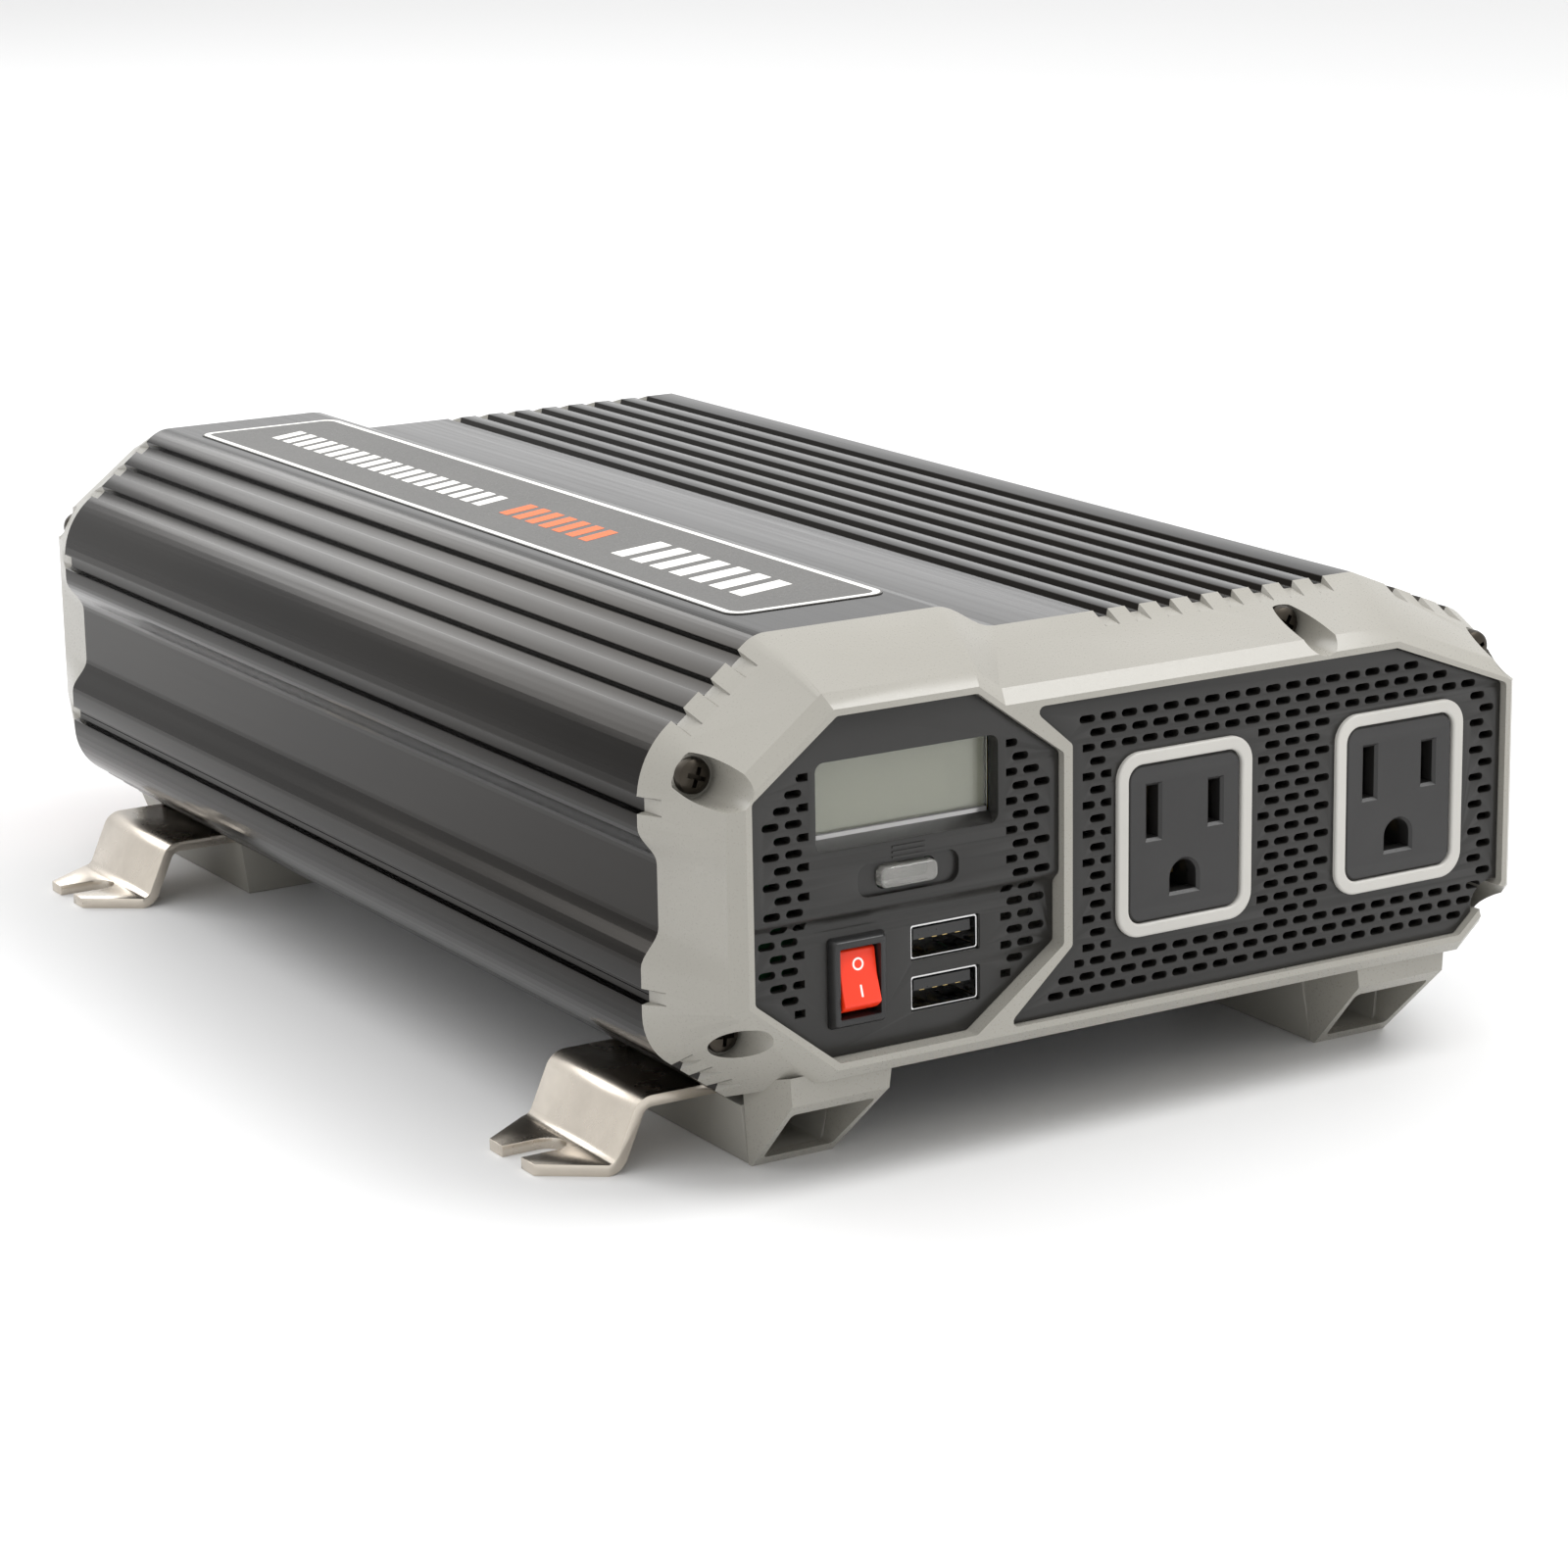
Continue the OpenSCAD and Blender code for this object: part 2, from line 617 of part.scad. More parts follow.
module main_board() {
    color([0.1, 0.35, 0.2]) difference() {
        translate([-board_half_w, -112, board_z]) cube([2 * board_half_w, 216, board_t]);
        for (s = standoffs) translate([s.x, s.y, board_z - 1]) cylinder(r = 1.7, h = 4, $fn = 32);
    }
}

// Hexagonal posts, tapped right through
module board_standoffs() {
    color([0.8, 0.68, 0.35]) for (s = standoffs) translate([s.x, s.y, floor_z]) difference() {
        cylinder(r = 3.2, h = board_z - floor_z, $fn = 6);
        translate([0, 0, -1]) cylinder(r = 1.5, h = 12, $fn = 32);
    }
}

module board_screws() {
    color([0.7, 0.7, 0.7]) for (s = standoffs) translate([s.x, s.y, 0]) {
        translate([0, 0, board_top]) cylinder(r = 2.9, h = 2, $fn = 32);
        translate([0, 0, board_top - 5]) cylinder(r = 1.5, h = 5, $fn = 32);
    }
}

module insulator_sheet() {
    color([0.85, 0.82, 0.6]) difference() {
        translate([-68, -108, floor_z]) cube([136, 212, 0.4]);
        for (s = standoffs) translate([s.x, s.y, floor_z - 1]) cylinder(r = 4, h = 3, $fn = 32);
    }
}

core_size = [42, 20, 40];
core_web = 6;

// Ferrite core: a closed frame with a middle leg
module transformer_cores() {
    color([0.15, 0.15, 0.16]) for (x = transformer_x)
        translate([x - core_size.x / 2, transformer_y - core_size.y / 2, board_top]) difference() {
            cube(core_size);
            for (s = [core_web, core_size.x / 2 + core_web]) translate([s, -1, core_web])
                cube([core_size.x / 2 - 2 * core_web, core_size.y + 2, core_size.z - 2 * core_web]);
        }
}

module transformer_windings() {
    color([0.85, 0.7, 0.2]) for (x = transformer_x)
        translate([x, transformer_y, board_top + core_web + 0.5]) difference() {
            translate([-14, -18, 0]) cube([28, 36, core_size.z - 2 * core_web - 1]);
            translate([-core_web - 0.2, -core_size.y / 2 - 0.2, -1])
                cube([2 * core_web + 0.4, core_size.y + 0.4, core_size.z]);
        }
}

module bus_capacitors() {
    color([0.15, 0.2, 0.4]) for (y = [12, 38]) translate([38, y, board_top]) cylinder(r = 11, h = 40, $fn = 48);
}

module input_capacitors() {
    color([0.1, 0.1, 0.3]) for (x = [-52, -33, -14, 5]) translate([x, 58, board_top])
        cylinder(r = 8, h = 30, $fn = 48);
}

module choke_core() {
    color([0.7, 0.65, 0.2]) translate([choke_c.x, choke_c.y, board_top + 3]) rotate_extrude($fn = 64)
        translate([9, 0]) square([7, 12]);
}

// Turns of thick wire round the choke's ring
module choke_winding() {
    color([0.75, 0.4, 0.2]) for (a = [0:30:330]) translate([choke_c.x, choke_c.y, board_top + 1.3])
        rotate([0, 0, a]) difference() {
            translate([7.2, -0.8, 0]) cube([10.6, 1.6, 15.4]);
            translate([8.9, -2, 1.6]) cube([7.2, 4, 12.2]);
        }
}

transistor_y = [-58, -42, -26, -10, 6, 22];

// Flat-backed transistors that stand against the case walls
module power_transistors() {
    color([0.12, 0.12, 0.12]) for (m = [-1, 1]) for (y = transistor_y) {
        translate([m * (inner_x - 2.5) - 2.3, y - 5, 33.2]) cube([4.6, 10, 15.5]);
        for (k = [-2.5, 0, 2.5]) translate([m * (inner_x - transistor_lead_x / 2 - 2.5) - 3, y + k - 0.4, 34])
            cube([6, 0.8, 0.6]);
        for (k = [-2.5, 0, 2.5]) translate([m * (inner_x - transistor_lead_x) - 0.4, y + k - 0.4, board_top])
            cube([0.8, 0.8, 34.6 - board_top]);
    }
}

module transistor_clamps() {
    color([0.6, 0.6, 0.62]) for (m = [-1, 1]) difference() {
        translate([m * (inner_x - 6.3) - 1.4, -66, 38]) cube([2.8, 96, 8]);
        for (y = [-50, 14]) translate([m * (inner_x - 6.3), y, 42]) rotate([0, 90, 0])
            cylinder(r = 1.7, h = 12, center = true, $fn = 32);
    }
}

module clamp_screws() {
    color([0.7, 0.7, 0.7]) for (m = [-1, 1]) for (y = [-50, 14]) translate([m * (inner_x - 4), y, 42])
        rotate([0, m * 90, 0]) {
            translate([0, 0, -3.9]) cylinder(r = 1.6, h = 7.8, $fn = 32);
            translate([0, 0, -5.9]) cylinder(r = 2.9, h = 2.1, $fn = 32);
        }
}

module blade_fuses() {
    color([0.2, 0.6, 0.3]) for (i = [0:3]) translate([-60 + 9 * i, 84, board_top]) {
        translate([-2.5, -9.5, 4]) cube([5, 19, 11]);
        for (y = [-6.5, 2]) translate([-0.5, y, 0]) cube([1, 4.5, 4.5]);
    }
}

// Bars from the battery studs to the main board
module bus_bars() {
    color([0.75, 0.45, 0.25]) for (x = post_x) difference() {
        translate([x - 5, 0, 0]) rotate([90, 0, 90]) linear_extrude(10)
            polygon([[98, board_top], [98, board_top + 2], [122, board_top + 2], [122, mid_z + post_z + 8],
                [124, mid_z + post_z + 8], [124, board_top]]);
        translate([x, 130, mid_z + post_z]) rotate([90, 0, 0]) cylinder(r = stud_r + 0.2, h = 20, $fn = 48);
    }
}

label_x = [-59.4, -28.9];
label_y = [-104.8, 107.4];

module top_label() {
    color([0.3, 0.3, 0.29]) translate([0, 0, mid_z + hh]) linear_extrude(0.2)
        polygon(pill([(label_x[0] + label_x[1]) / 2, (label_y[0] + label_y[1]) / 2],
            [label_x[1] - label_x[0], label_y[1] - label_y[0]], 3));
}

knee = [-79.5, -hh - 1 - 3];
heel = [-88.07, -hh - foot_h + 1 + 3];
lean = 66;
function arc(c, r, a0, a1) = [for (i = [0:6]) c + r * [cos(lerp(a0, a1, i / 6)), sin(lerp(a0, a1, i / 6))]];

// Z-shaped strip with an open slot in its foot
module bracket() {
    half_t = bracket_t / 2;
    difference() {
        translate([0, bracket_y + bracket_w / 2, mid_z]) rotate([90, 0, 0]) linear_extrude(bracket_w)
            polygon(concat([[-50.5, knee.y + 3 - half_t], [-50.5, knee.y + 3 + half_t]],
                arc(knee, 3 + half_t, 90, 90 + lean), arc(heel, 3 - half_t, lean - 90, -90),
                [[-98, heel.y - 3 + half_t], [-98, heel.y - 3 - half_t]],
                arc(heel, 3 + half_t, -90, lean - 90), arc(knee, 3 - half_t, 90 + lean, 90)));
        // Open slot with a round end
        translate([-91.4, bracket_y, -1]) cylinder(r = slot_w / 2, h = 6, $fn = 48);
        translate([-110, bracket_y - slot_w / 2, -1]) cube([18.6, slot_w, 6]);
        // Slanted corners at the tip
        for (s = [-1, 1]) translate([0, bracket_y, -1]) linear_extrude(6)
            polygon([[-88, s * bracket_w / 2], [-98, s * 7.8], [-110, s * 7.8], [-110, s * 30], [-88, s * 30]]);
        for (y = foot_holes) translate([(foot_x[0] + foot_x[1]) / 2, y, foot_h - 6])
            cylinder(r = 2.2, h = 10, $fn = 32);
    }
}

module mounting_brackets() {
    color([0.72, 0.7, 0.65]) {
        bracket();
        at_rear() bracket();
    }
}

// Hollow block behind a foot nose. Under a bracket it is lower by the bracket's thickness.
module foot_block(m) {
    lo = -hh - foot_h;
    hi = m < 0 ? -hh - bracket_t : -hh;
    difference() {
        slab(cap_l, cap_l + foot_l) polygon([for (p = [[foot_x[0], hi], [-66, lo], [-50.4, lo], [foot_x[1], hi]])
            [m * -p.x, p.y]]);
        slab(cap_l - 1, cap_l + foot_l - 2)
            polygon([for (p = [[-65.2, hi - 2.2], [-64.4, lo + 1.8], [-52, lo + 1.8], [-50.3, hi - 2.2]])
                [m * -p.x, p.y]]);
        for (y = foot_holes) translate([m * -(foot_x[0] + foot_x[1]) / 2, y, 0]) {
            translate([0, 0, -1]) cylinder(r = 4, h = 4, $fn = 32);
            cylinder(r = 2.2, h = 20, $fn = 32);
        }
    }
}

module foot_blocks() {
    color([0.6, 0.6, 0.57]) for (m = [-1, 1]) {
        foot_block(m);
        at_rear() foot_block(m);
    }
}

module foot_screws() {
    color([0.7, 0.7, 0.7]) for (p = foot_bolts())
        translate([p.x, p.y, foot_h - (p.x < 0 ? bracket_t : 0) - 2.2]) {
            translate([0, 0, -2]) cylinder(r = 3.4, h = 2, $fn = 32);
            translate([0, 0, -0.1]) cylinder(r = 1.9, h = 7 - (p.x < 0 ? 0 : bracket_t), $fn = 32);
        }
}

module terminal_panel() {
    color([0.17, 0.16, 0.15]) at_rear() difference() {
        window_plate(octagon);
        for (x = post_x) bar([x, post_z], stud_r + 2, 0, 10);
        bar([panel_x, -19], 2.1, 0, 10);
        vents(side_vents(), 0, 10);
    }
}

module battery_studs() {
    color([0.8, 0.68, 0.35]) for (x = post_x) difference() {
        union() {
            bar([x, post_z], stud_r, 260, 298.6);
            translate([x, 128, mid_z + post_z]) rotate([90, 0, 0]) cylinder(r = 7.5, h = 4, $fn = 6);
        }
        centred_block([x, post_z], [6, 1], 297.4, 300);
    }
}

base_y = rear - panel_d;

// Flanged coloured insulator through the terminal panel
module post_base(x) {
    translate([x, 0, mid_z + post_z]) rotate([-90, 0, 0]) difference() {
        union() {
            translate([0, 0, base_y]) cylinder(r = 11, h = base_t, $fn = 64);
            translate([0, 0, base_y - 8]) cylinder(r = stud_r + 1.9, h = 9, $fn = 48);
        }
        translate([0, 0, base_y - 12]) cylinder(r = stud_r + 0.05, h = 30, $fn = 48);
    }
}

module post_washer(x) {
    translate([x, base_y + base_t + play, mid_z + post_z]) rotate([-90, 0, 0]) difference() {
        cylinder(r = 8.5, h = washer_t, $fn = 48);
        translate([0, 0, -1]) cylinder(r = stud_r + 0.05, h = 4, $fn = 48);
    }
}

// Fluted knob that screws along the stud
module post_knob(x) {
    translate([x, base_y + base_t + 2 * play + washer_t, mid_z + post_z]) rotate([-90, 0, 0]) difference() {
        cylinder(r = 9.2, h = knob_l, $fn = 64);
        for (a = [0:30:330]) rotate([0, 0, a]) translate([10.2, 0, 2]) cylinder(r = 1.7, h = knob_l, $fn = 24);
        translate([0, 0, -1]) cylinder(r = stud_r + 0.05, h = knob_l + 2, $fn = 48);
    }
}

module positive_base() {
    color([0.7, 0.08, 0.06]) post_base(post_x[0]);
}

module negative_base() {
    color([0.08, 0.08, 0.08]) post_base(post_x[1]);
}

module positive_washer() {
    color([0.8, 0.68, 0.35]) post_washer(post_x[0]);
}

module negative_washer() {
    color([0.8, 0.68, 0.35]) post_washer(post_x[1]);
}

module positive_knob() {
    color([0.7, 0.08, 0.06]) post_knob(post_x[0]);
}

module negative_knob() {
    color([0.08, 0.08, 0.08]) post_knob(post_x[1]);
}

module ground_screw() {
    color([0.75, 0.72, 0.6]) at_rear() difference() {
        union() {
            bar([panel_x, -19], 4, panel_d - 2.6, panel_d);
            bar([panel_x, -19], 2, panel_d - 0.1, 16);
        }
        centred_block([panel_x, -19], [6, 1], panel_d - 4, panel_d - 1.6);
    }
}

// Square frame with a round duct, and a bearing boss on four struts
module fan_frame(x) {
    translate([x, fan_back, mid_z + fan_z]) rotate([90, 0, 0]) {
        difference() {
            translate([-fan_size / 2, -fan_size / 2, 0]) cube([fan_size, fan_size, fan_t]);
            translate([0, 0, -1]) cylinder(r = 18.8, h = fan_t + 2, $fn = 64);
            for (i = [-16, 16]) for (j = [-16, 16]) translate([i, j, -1])
                cylinder(r = 2.1, h = fan_t + 2, $fn = 32);
        }
        difference() {
            union() {
                cylinder(r = 8, h = 2.5, $fn = 48);
                for (a = [0, 90]) rotate([0, 0, a + 45]) translate([-20, -1, 0.3]) cube([40, 2, 1.9]);
            }
            translate([0, 0, -1]) cylinder(r = 1.05, h = 6, $fn = 32);
        }
    }
}

module fan_frames() {
    color([0.1, 0.1, 0.1]) for (x = fan_x) fan_frame(x);
}

// Hub with seven slanted blades and its shaft
module fan_rotor(x) {
    color([0.12, 0.12, 0.12]) translate([x, fan_back, mid_z + fan_z]) rotate([90, 0, 0]) {
        translate([0, 0, 0.5]) cylinder(r = 1, h = 4, $fn = 32);
        translate([0, 0, 3.2]) cylinder(r = 8, h = 15, $fn = 48);
        intersection() {
            for (i = [0:6]) rotate([0, 0, 360 / 7 * i]) translate([7, 0, 10.5]) rotate([40, 0, 0])
                translate([0, -8, -0.6]) cube([11, 16, 1.2]);
            translate([0, 0, 3.5]) cylinder(r = 18.1, h = 14.4, $fn = 64);
        }
    }
}

module fan_rotor_left() {
    fan_rotor(fan_x[0]);
}

module fan_rotor_right() {
    fan_rotor(fan_x[1]);
}

module fan_screws() {
    color([0.6, 0.6, 0.6]) for (p = fan_bolts)
        translate([p.x, fan_back + 1.4, mid_z + p.y]) rotate([90, 0, 0]) {
            cylinder(r = 2.1, h = fan_t + 1.5, $fn = 32);
            translate([0, 0, fan_t + 1.4]) cylinder(r = 3.2, h = 2, $fn = 32);
        }
}

upper_shell();
lower_shell();
front_cap();
rear_cap();
front_cap_screws();
rear_cap_screws();
control_panel();
outlet_panel();
outlet_frames();
outlet_faces();
outlet_bodies();
outlet_contacts();
lcd_window();
lcd_module();
control_board();
menu_button();
menu_switch();
rocker_housing();
power_rocker();
rocker_terminals();
usb_shells();
usb_tongues();
usb_contacts();
main_board();
board_standoffs();
board_screws();
insulator_sheet();
transformer_cores();
transformer_windings();
bus_capacitors();
input_capacitors();
choke_core();
choke_winding();
power_transistors();
transistor_clamps();
clamp_screws();
blade_fuses();
bus_bars();
top_label();
mounting_brackets();
foot_blocks();
foot_screws();
rear_vent_panel();
terminal_panel();
battery_studs();
positive_base();
negative_base();
positive_washer();
negative_washer();
positive_knob();
negative_knob();
ground_screw();
fan_frames();
fan_rotor_left();
fan_rotor_right();
fan_screws();
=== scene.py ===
import math

import bmesh
import bpy
from mathutils import Matrix, Vector


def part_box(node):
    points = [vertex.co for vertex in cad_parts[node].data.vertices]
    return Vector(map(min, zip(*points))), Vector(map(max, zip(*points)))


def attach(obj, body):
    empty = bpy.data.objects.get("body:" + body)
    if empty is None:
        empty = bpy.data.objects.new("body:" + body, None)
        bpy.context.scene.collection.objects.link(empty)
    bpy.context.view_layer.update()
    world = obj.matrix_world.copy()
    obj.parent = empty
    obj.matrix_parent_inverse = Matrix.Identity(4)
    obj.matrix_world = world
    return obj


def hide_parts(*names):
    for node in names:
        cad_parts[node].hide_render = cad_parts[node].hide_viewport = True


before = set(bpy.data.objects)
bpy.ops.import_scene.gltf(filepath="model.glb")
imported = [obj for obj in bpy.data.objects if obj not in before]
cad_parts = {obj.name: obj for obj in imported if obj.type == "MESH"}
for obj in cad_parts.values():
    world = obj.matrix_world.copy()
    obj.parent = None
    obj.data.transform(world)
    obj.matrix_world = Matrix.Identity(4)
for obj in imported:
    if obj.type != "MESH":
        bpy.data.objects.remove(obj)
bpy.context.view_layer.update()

MM = 0.001

# The case's own measures in millimetres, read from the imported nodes
case_lo, case_hi = (Vector(p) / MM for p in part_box("lower_shell"))
lid_hi = Vector(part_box("upper_shell")[1]) / MM
HALF_W = case_hi.x
CORE = case_hi.y
FOOT_H = case_lo.z
HALF_H = (lid_hi.z - FOOT_H) / 2
MID = FOOT_H + HALF_H
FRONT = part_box("front_cap")[0][1] / MM
CAP_L = -CORE - FRONT
LOW_TOP = HALF_H - 4.6
SPLIT = -18.4


# ---------------------------------------------------------------- camera and lights
CAMERA_TURN = (-31.14, 14.51, -0.96)
CAMERA_DISTANCE = 0.676
CAMERA_LENS = 99.56
SENSOR = 36


def place_camera():
    """Camera at the photograph's angle, on the middle of its frame."""
    azimuth, elevation, roll = (math.radians(a) for a in CAMERA_TURN)
    target = Vector((-0.07008, FRONT * MM, 0.06942))
    back = Vector((math.sin(azimuth) * math.cos(elevation),
                   -math.cos(azimuth) * math.cos(elevation), math.sin(elevation)))
    right = Vector((math.cos(azimuth), math.sin(azimuth), 0))
    up = back.cross(right)
    right, up = (math.cos(roll) * right + math.sin(roll) * up,
                 math.cos(roll) * up - math.sin(roll) * right)
    data = bpy.data.cameras.new("camera")
    data.sensor_width = SENSOR
    data.lens = CAMERA_LENS
    data.clip_start = 0.01
    camera = bpy.data.objects.new("camera", data)
    bpy.context.scene.collection.objects.link(camera)
    turn = Matrix((right, up, back)).transposed().to_4x4()
    camera.matrix_world = Matrix.Translation(target + back * CAMERA_DISTANCE) @ turn
    bpy.context.scene.camera = camera


def place_light(name, where, aim, size, power):
    """White rectangular lamp of a size in metres and a power in watts."""
    data = bpy.data.lights.new(name, "AREA")
    data.shape = "RECTANGLE"
    data.size, data.size_y = size
    data.energy = power
    lamp = bpy.data.objects.new(name, data)
    bpy.context.scene.collection.objects.link(lamp)
    where = Vector(where)
    turn = (where - Vector(aim)).to_track_quat("Z", "Y").to_matrix().to_4x4()
    lamp.matrix_world = Matrix.Translation(where) @ turn


# ---------------------------------------------------------------- materials
class Shader:
    """A Principled material and short ways to add nodes to it."""

    def __init__(self, name, colour, rough, metal=0.0, **sockets):
        self.material = bpy.data.materials.new(name)
        self.material.use_nodes = True
        self.tree = self.material.node_tree
        self.main = self.tree.nodes["Principled BSDF"]
        self.main.inputs["Base Color"].default_value = (*colour, 1)
        self.main.inputs["Roughness"].default_value = rough
        self.main.inputs["Metallic"].default_value = metal
        for socket, value in sockets.items():
            self.main.inputs[socket.replace("_", " ")].default_value = value
        self.place = self.tree.nodes.new("ShaderNodeTexCoord").outputs["Object"]

    def link(self, a, b):
        self.tree.links.new(a, b)

    def noise(self, scale, detail=4.0, rough=0.55, stretch=(1, 1, 1)):
        mapping = self.tree.nodes.new("ShaderNodeMapping")
        mapping.inputs["Scale"].default_value = stretch
        self.link(self.place, mapping.inputs["Vector"])
        tex = self.tree.nodes.new("ShaderNodeTexNoise")
        tex.inputs["Scale"].default_value = scale
        tex.inputs["Detail"].default_value = detail
        tex.inputs["Roughness"].default_value = rough
        self.link(mapping.outputs["Vector"], tex.inputs["Vector"])
        return tex.outputs["Fac"]

    def spread(self, value, low, high, start=0.3, stop=0.7):
        node = self.tree.nodes.new("ShaderNodeMapRange")
        node.inputs["From Min"].default_value = start
        node.inputs["From Max"].default_value = stop
        node.inputs["To Min"].default_value = low
        node.inputs["To Max"].default_value = high
        self.link(value, node.inputs["Value"])
        return node.outputs["Result"]

    def mix(self, value, first, second):
        node = self.tree.nodes.new("ShaderNodeMix")
        node.data_type = "RGBA"
        self.link(value, node.inputs["Factor"])
        for socket, colour in (("A", first), ("B", second)):
            where = [i for i in node.inputs if i.name == socket and i.type == "RGBA"][0]
            if isinstance(colour, tuple):
                where.default_value = (*colour, 1)
            else:
                self.link(colour, where)
        return [o for o in node.outputs if o.type == "RGBA"][0]

    def bump(self, *heights):
        """Chains bumps, each (height, strength, distance in mm)."""
        previous = None
        for height, strength, distance in heights:
            node = self.tree.nodes.new("ShaderNodeBump")
            node.inputs["Strength"].default_value = strength
            node.inputs["Distance"].default_value = distance * MM
            self.link(height, node.inputs["Height"])
            if previous:
                self.link(previous, node.inputs["Normal"])
            previous = node.outputs["Normal"]
        self.link(previous, self.main.inputs["Normal"])


def anodised():
    """Dark bronze anodising: satin, with drawing lines along the extrusion."""
    s = Shader("anodised", (0.009, 0.0074, 0.0056), 0.2, 1.0)
    lines = s.noise(900, 3, 0.6, (1, 0.012, 1))
    cloud = s.noise(26, 3, 0.5, (1, 0.35, 1))
    shade = s.mix(s.spread(cloud, 0, 1), (0.006, 0.0048, 0.0036), (0.012, 0.01, 0.0078))
    s.link(shade, s.main.inputs["Base Color"])
    s.link(s.spread(lines, 0.13, 0.21), s.main.inputs["Roughness"])
    s.bump((lines, 0.09, 0.02), (s.noise(1500, 2, 0.5), 0.06, 0.01))
    return s.material


def moulded(name, colour, rough, grain=0.12, contrast=0.06, **sockets):
    """Moulded plastic: fine spark-eroded texture, slight changes of shade, slightly rubbed edges."""
    s = Shader(name, colour, rough, **sockets)
    fine = s.noise(2600, 4, 0.6)
    cloud = s.noise(38, 4, 0.55)
    dark = tuple(c * (1 - contrast) for c in colour)
    light = tuple(min(1, c * (1 + contrast)) for c in colour)
    edges = s.tree.nodes.new("ShaderNodeNewGeometry").outputs["Pointiness"]
    shade = s.mix(s.spread(cloud, 0, 1), dark, light)
    rubbed = tuple(min(1, c * 1.12 + 0.012) for c in colour)
    s.link(s.mix(s.spread(edges, 0, 0.5, 0.52, 0.62), shade, rubbed), s.main.inputs["Base Color"])
    s.link(s.spread(fine, rough - 0.05, rough + 0.06), s.main.inputs["Roughness"])
    s.bump((fine, grain, 0.03), (s.noise(320, 2, 0.5), 0.05, 0.05))
    return s.material


def metal(name, colour, rough, lines=(1, 1, 1), grain=0.1, spots=0.05):
    """Plated or bare metal with fine grain, faint stains and polishing marks."""
    s = Shader(name, colour, rough, 1.0)
    fine = s.noise(1800, 3, 0.6, lines)
    stain = s.noise(70, 5, 0.6)
    dull = tuple(c * (1 - spots * 4) for c in colour)
    s.link(s.mix(s.spread(stain, 0, 1, 0.35, 0.75), colour, dull), s.main.inputs["Base Color"])
    s.link(s.spread(stain, rough, rough + 0.12), s.main.inputs["Roughness"])
    s.bump((fine, grain, 0.02))
    return s.material


def glossy(name, colour, rough, metal=0.0, **sockets):
    """Glossy or clear plastic with a faint ripple."""
    s = Shader(name, colour, rough, metal, **sockets)
    s.link(s.spread(s.noise(120, 3), rough, rough + 0.06), s.main.inputs["Roughness"])
    s.bump((s.noise(300, 2), 0.05, 0.04))
    return s.material


CASE = anodised()
CAP = moulded("cap_plastic", (0.3, 0.288, 0.255), 0.3)
# Painted shade: the foot blocks are the same grey plastic as the caps, given a darker grey for the shade
# they sit in under the case and brackets.
FOOT = moulded("foot_plastic", (0.26, 0.25, 0.222), 0.4)
PANEL = moulded("panel_plastic", (0.012, 0.0112, 0.0098), 0.36, 0.1, 0.15)
FACE = moulded("outlet_plastic", (0.018, 0.0173, 0.0168), 0.42, 0.08, 0.12)
RING = moulded("ring_plastic", (0.5, 0.487, 0.455), 0.38, 0.08)
BLACK = moulded("black_plastic", (0.01, 0.01, 0.01), 0.32, 0.08, 0.2)
RED = moulded("red_plastic", (0.88, 0.035, 0.004), 0.36, 0.05, 0.05)
WHITE_INK = moulded("white_ink", (0.85, 0.84, 0.8), 0.5, 0.04)
ORANGE_INK = moulded("orange_ink", (0.75, 0.14, 0.03), 0.5, 0.04)
FILM = moulded("label_film", (0.05, 0.047, 0.042), 0.3, 0.05, 0.15)
PLATED = metal("plated_steel", (0.66, 0.6, 0.52), 0.2, (1, 0.06, 1), 0.14)
SCREW = metal("screw_plating", (0.5, 0.48, 0.44), 0.3)
# Painted shade: the cap screws are plated steel, given a near-black colour so that their deep seats in
# the caps read as shadowed holes.
PAINTED_SHADE_SCREW = metal("cap_screw_painted_shade", (0.06, 0.052, 0.042), 0.35)
CHROME = metal("usb_plating", (0.72, 0.72, 0.72), 0.14, (1, 1, 1), 0.04, 0.02)
BRASS = metal("brass", (0.68, 0.5, 0.2), 0.26)
COPPER = metal("copper", (0.7, 0.34, 0.18), 0.3)
BAR = metal("mill_aluminium", (0.6, 0.6, 0.6), 0.35, (1, 0.05, 1))
DISPLAY = glossy("display", (0.4, 0.39, 0.33), 0.2)
GLASS = glossy("display_window", (0.9, 0.92, 0.88), 0.03, Transmission_Weight=1.0, IOR=1.46)
CLEAR = glossy("clear_button", (0.9, 0.89, 0.85), 0.04, Transmission_Weight=0.85, IOR=1.46)
LIP = glossy("display_lip", (0.36, 0.355, 0.35), 0.12, 0.6)
BOARD = moulded("solder_mask", (0.01, 0.09, 0.03), 0.35, 0.1, 0.2)
FERRITE = moulded("ferrite", (0.04, 0.04, 0.045), 0.6, 0.3, 0.2)
TAPE = glossy("winding_tape", (0.75, 0.5, 0.05), 0.3)
SLEEVE = glossy("capacitor_sleeve", (0.02, 0.03, 0.12), 0.25)
EPOXY = moulded("epoxy", (0.012, 0.012, 0.012), 0.5, 0.2, 0.2)
FUSE = glossy("fuse_plastic", (0.04, 0.35, 0.06), 0.2)
AMBER = glossy("insulator_film", (0.6, 0.5, 0.2), 0.3)


# ---------------------------------------------------------------- mesh helpers, all in millimetres
def at(x, depth, z):
    """Point at a depth behind the front rim, measured from the middle of the case's section."""
    return Vector((x, FRONT + depth, MID + z))


def flat(points):
    """The points as two-dimensional vectors."""
    return [Vector(p) for p in points]


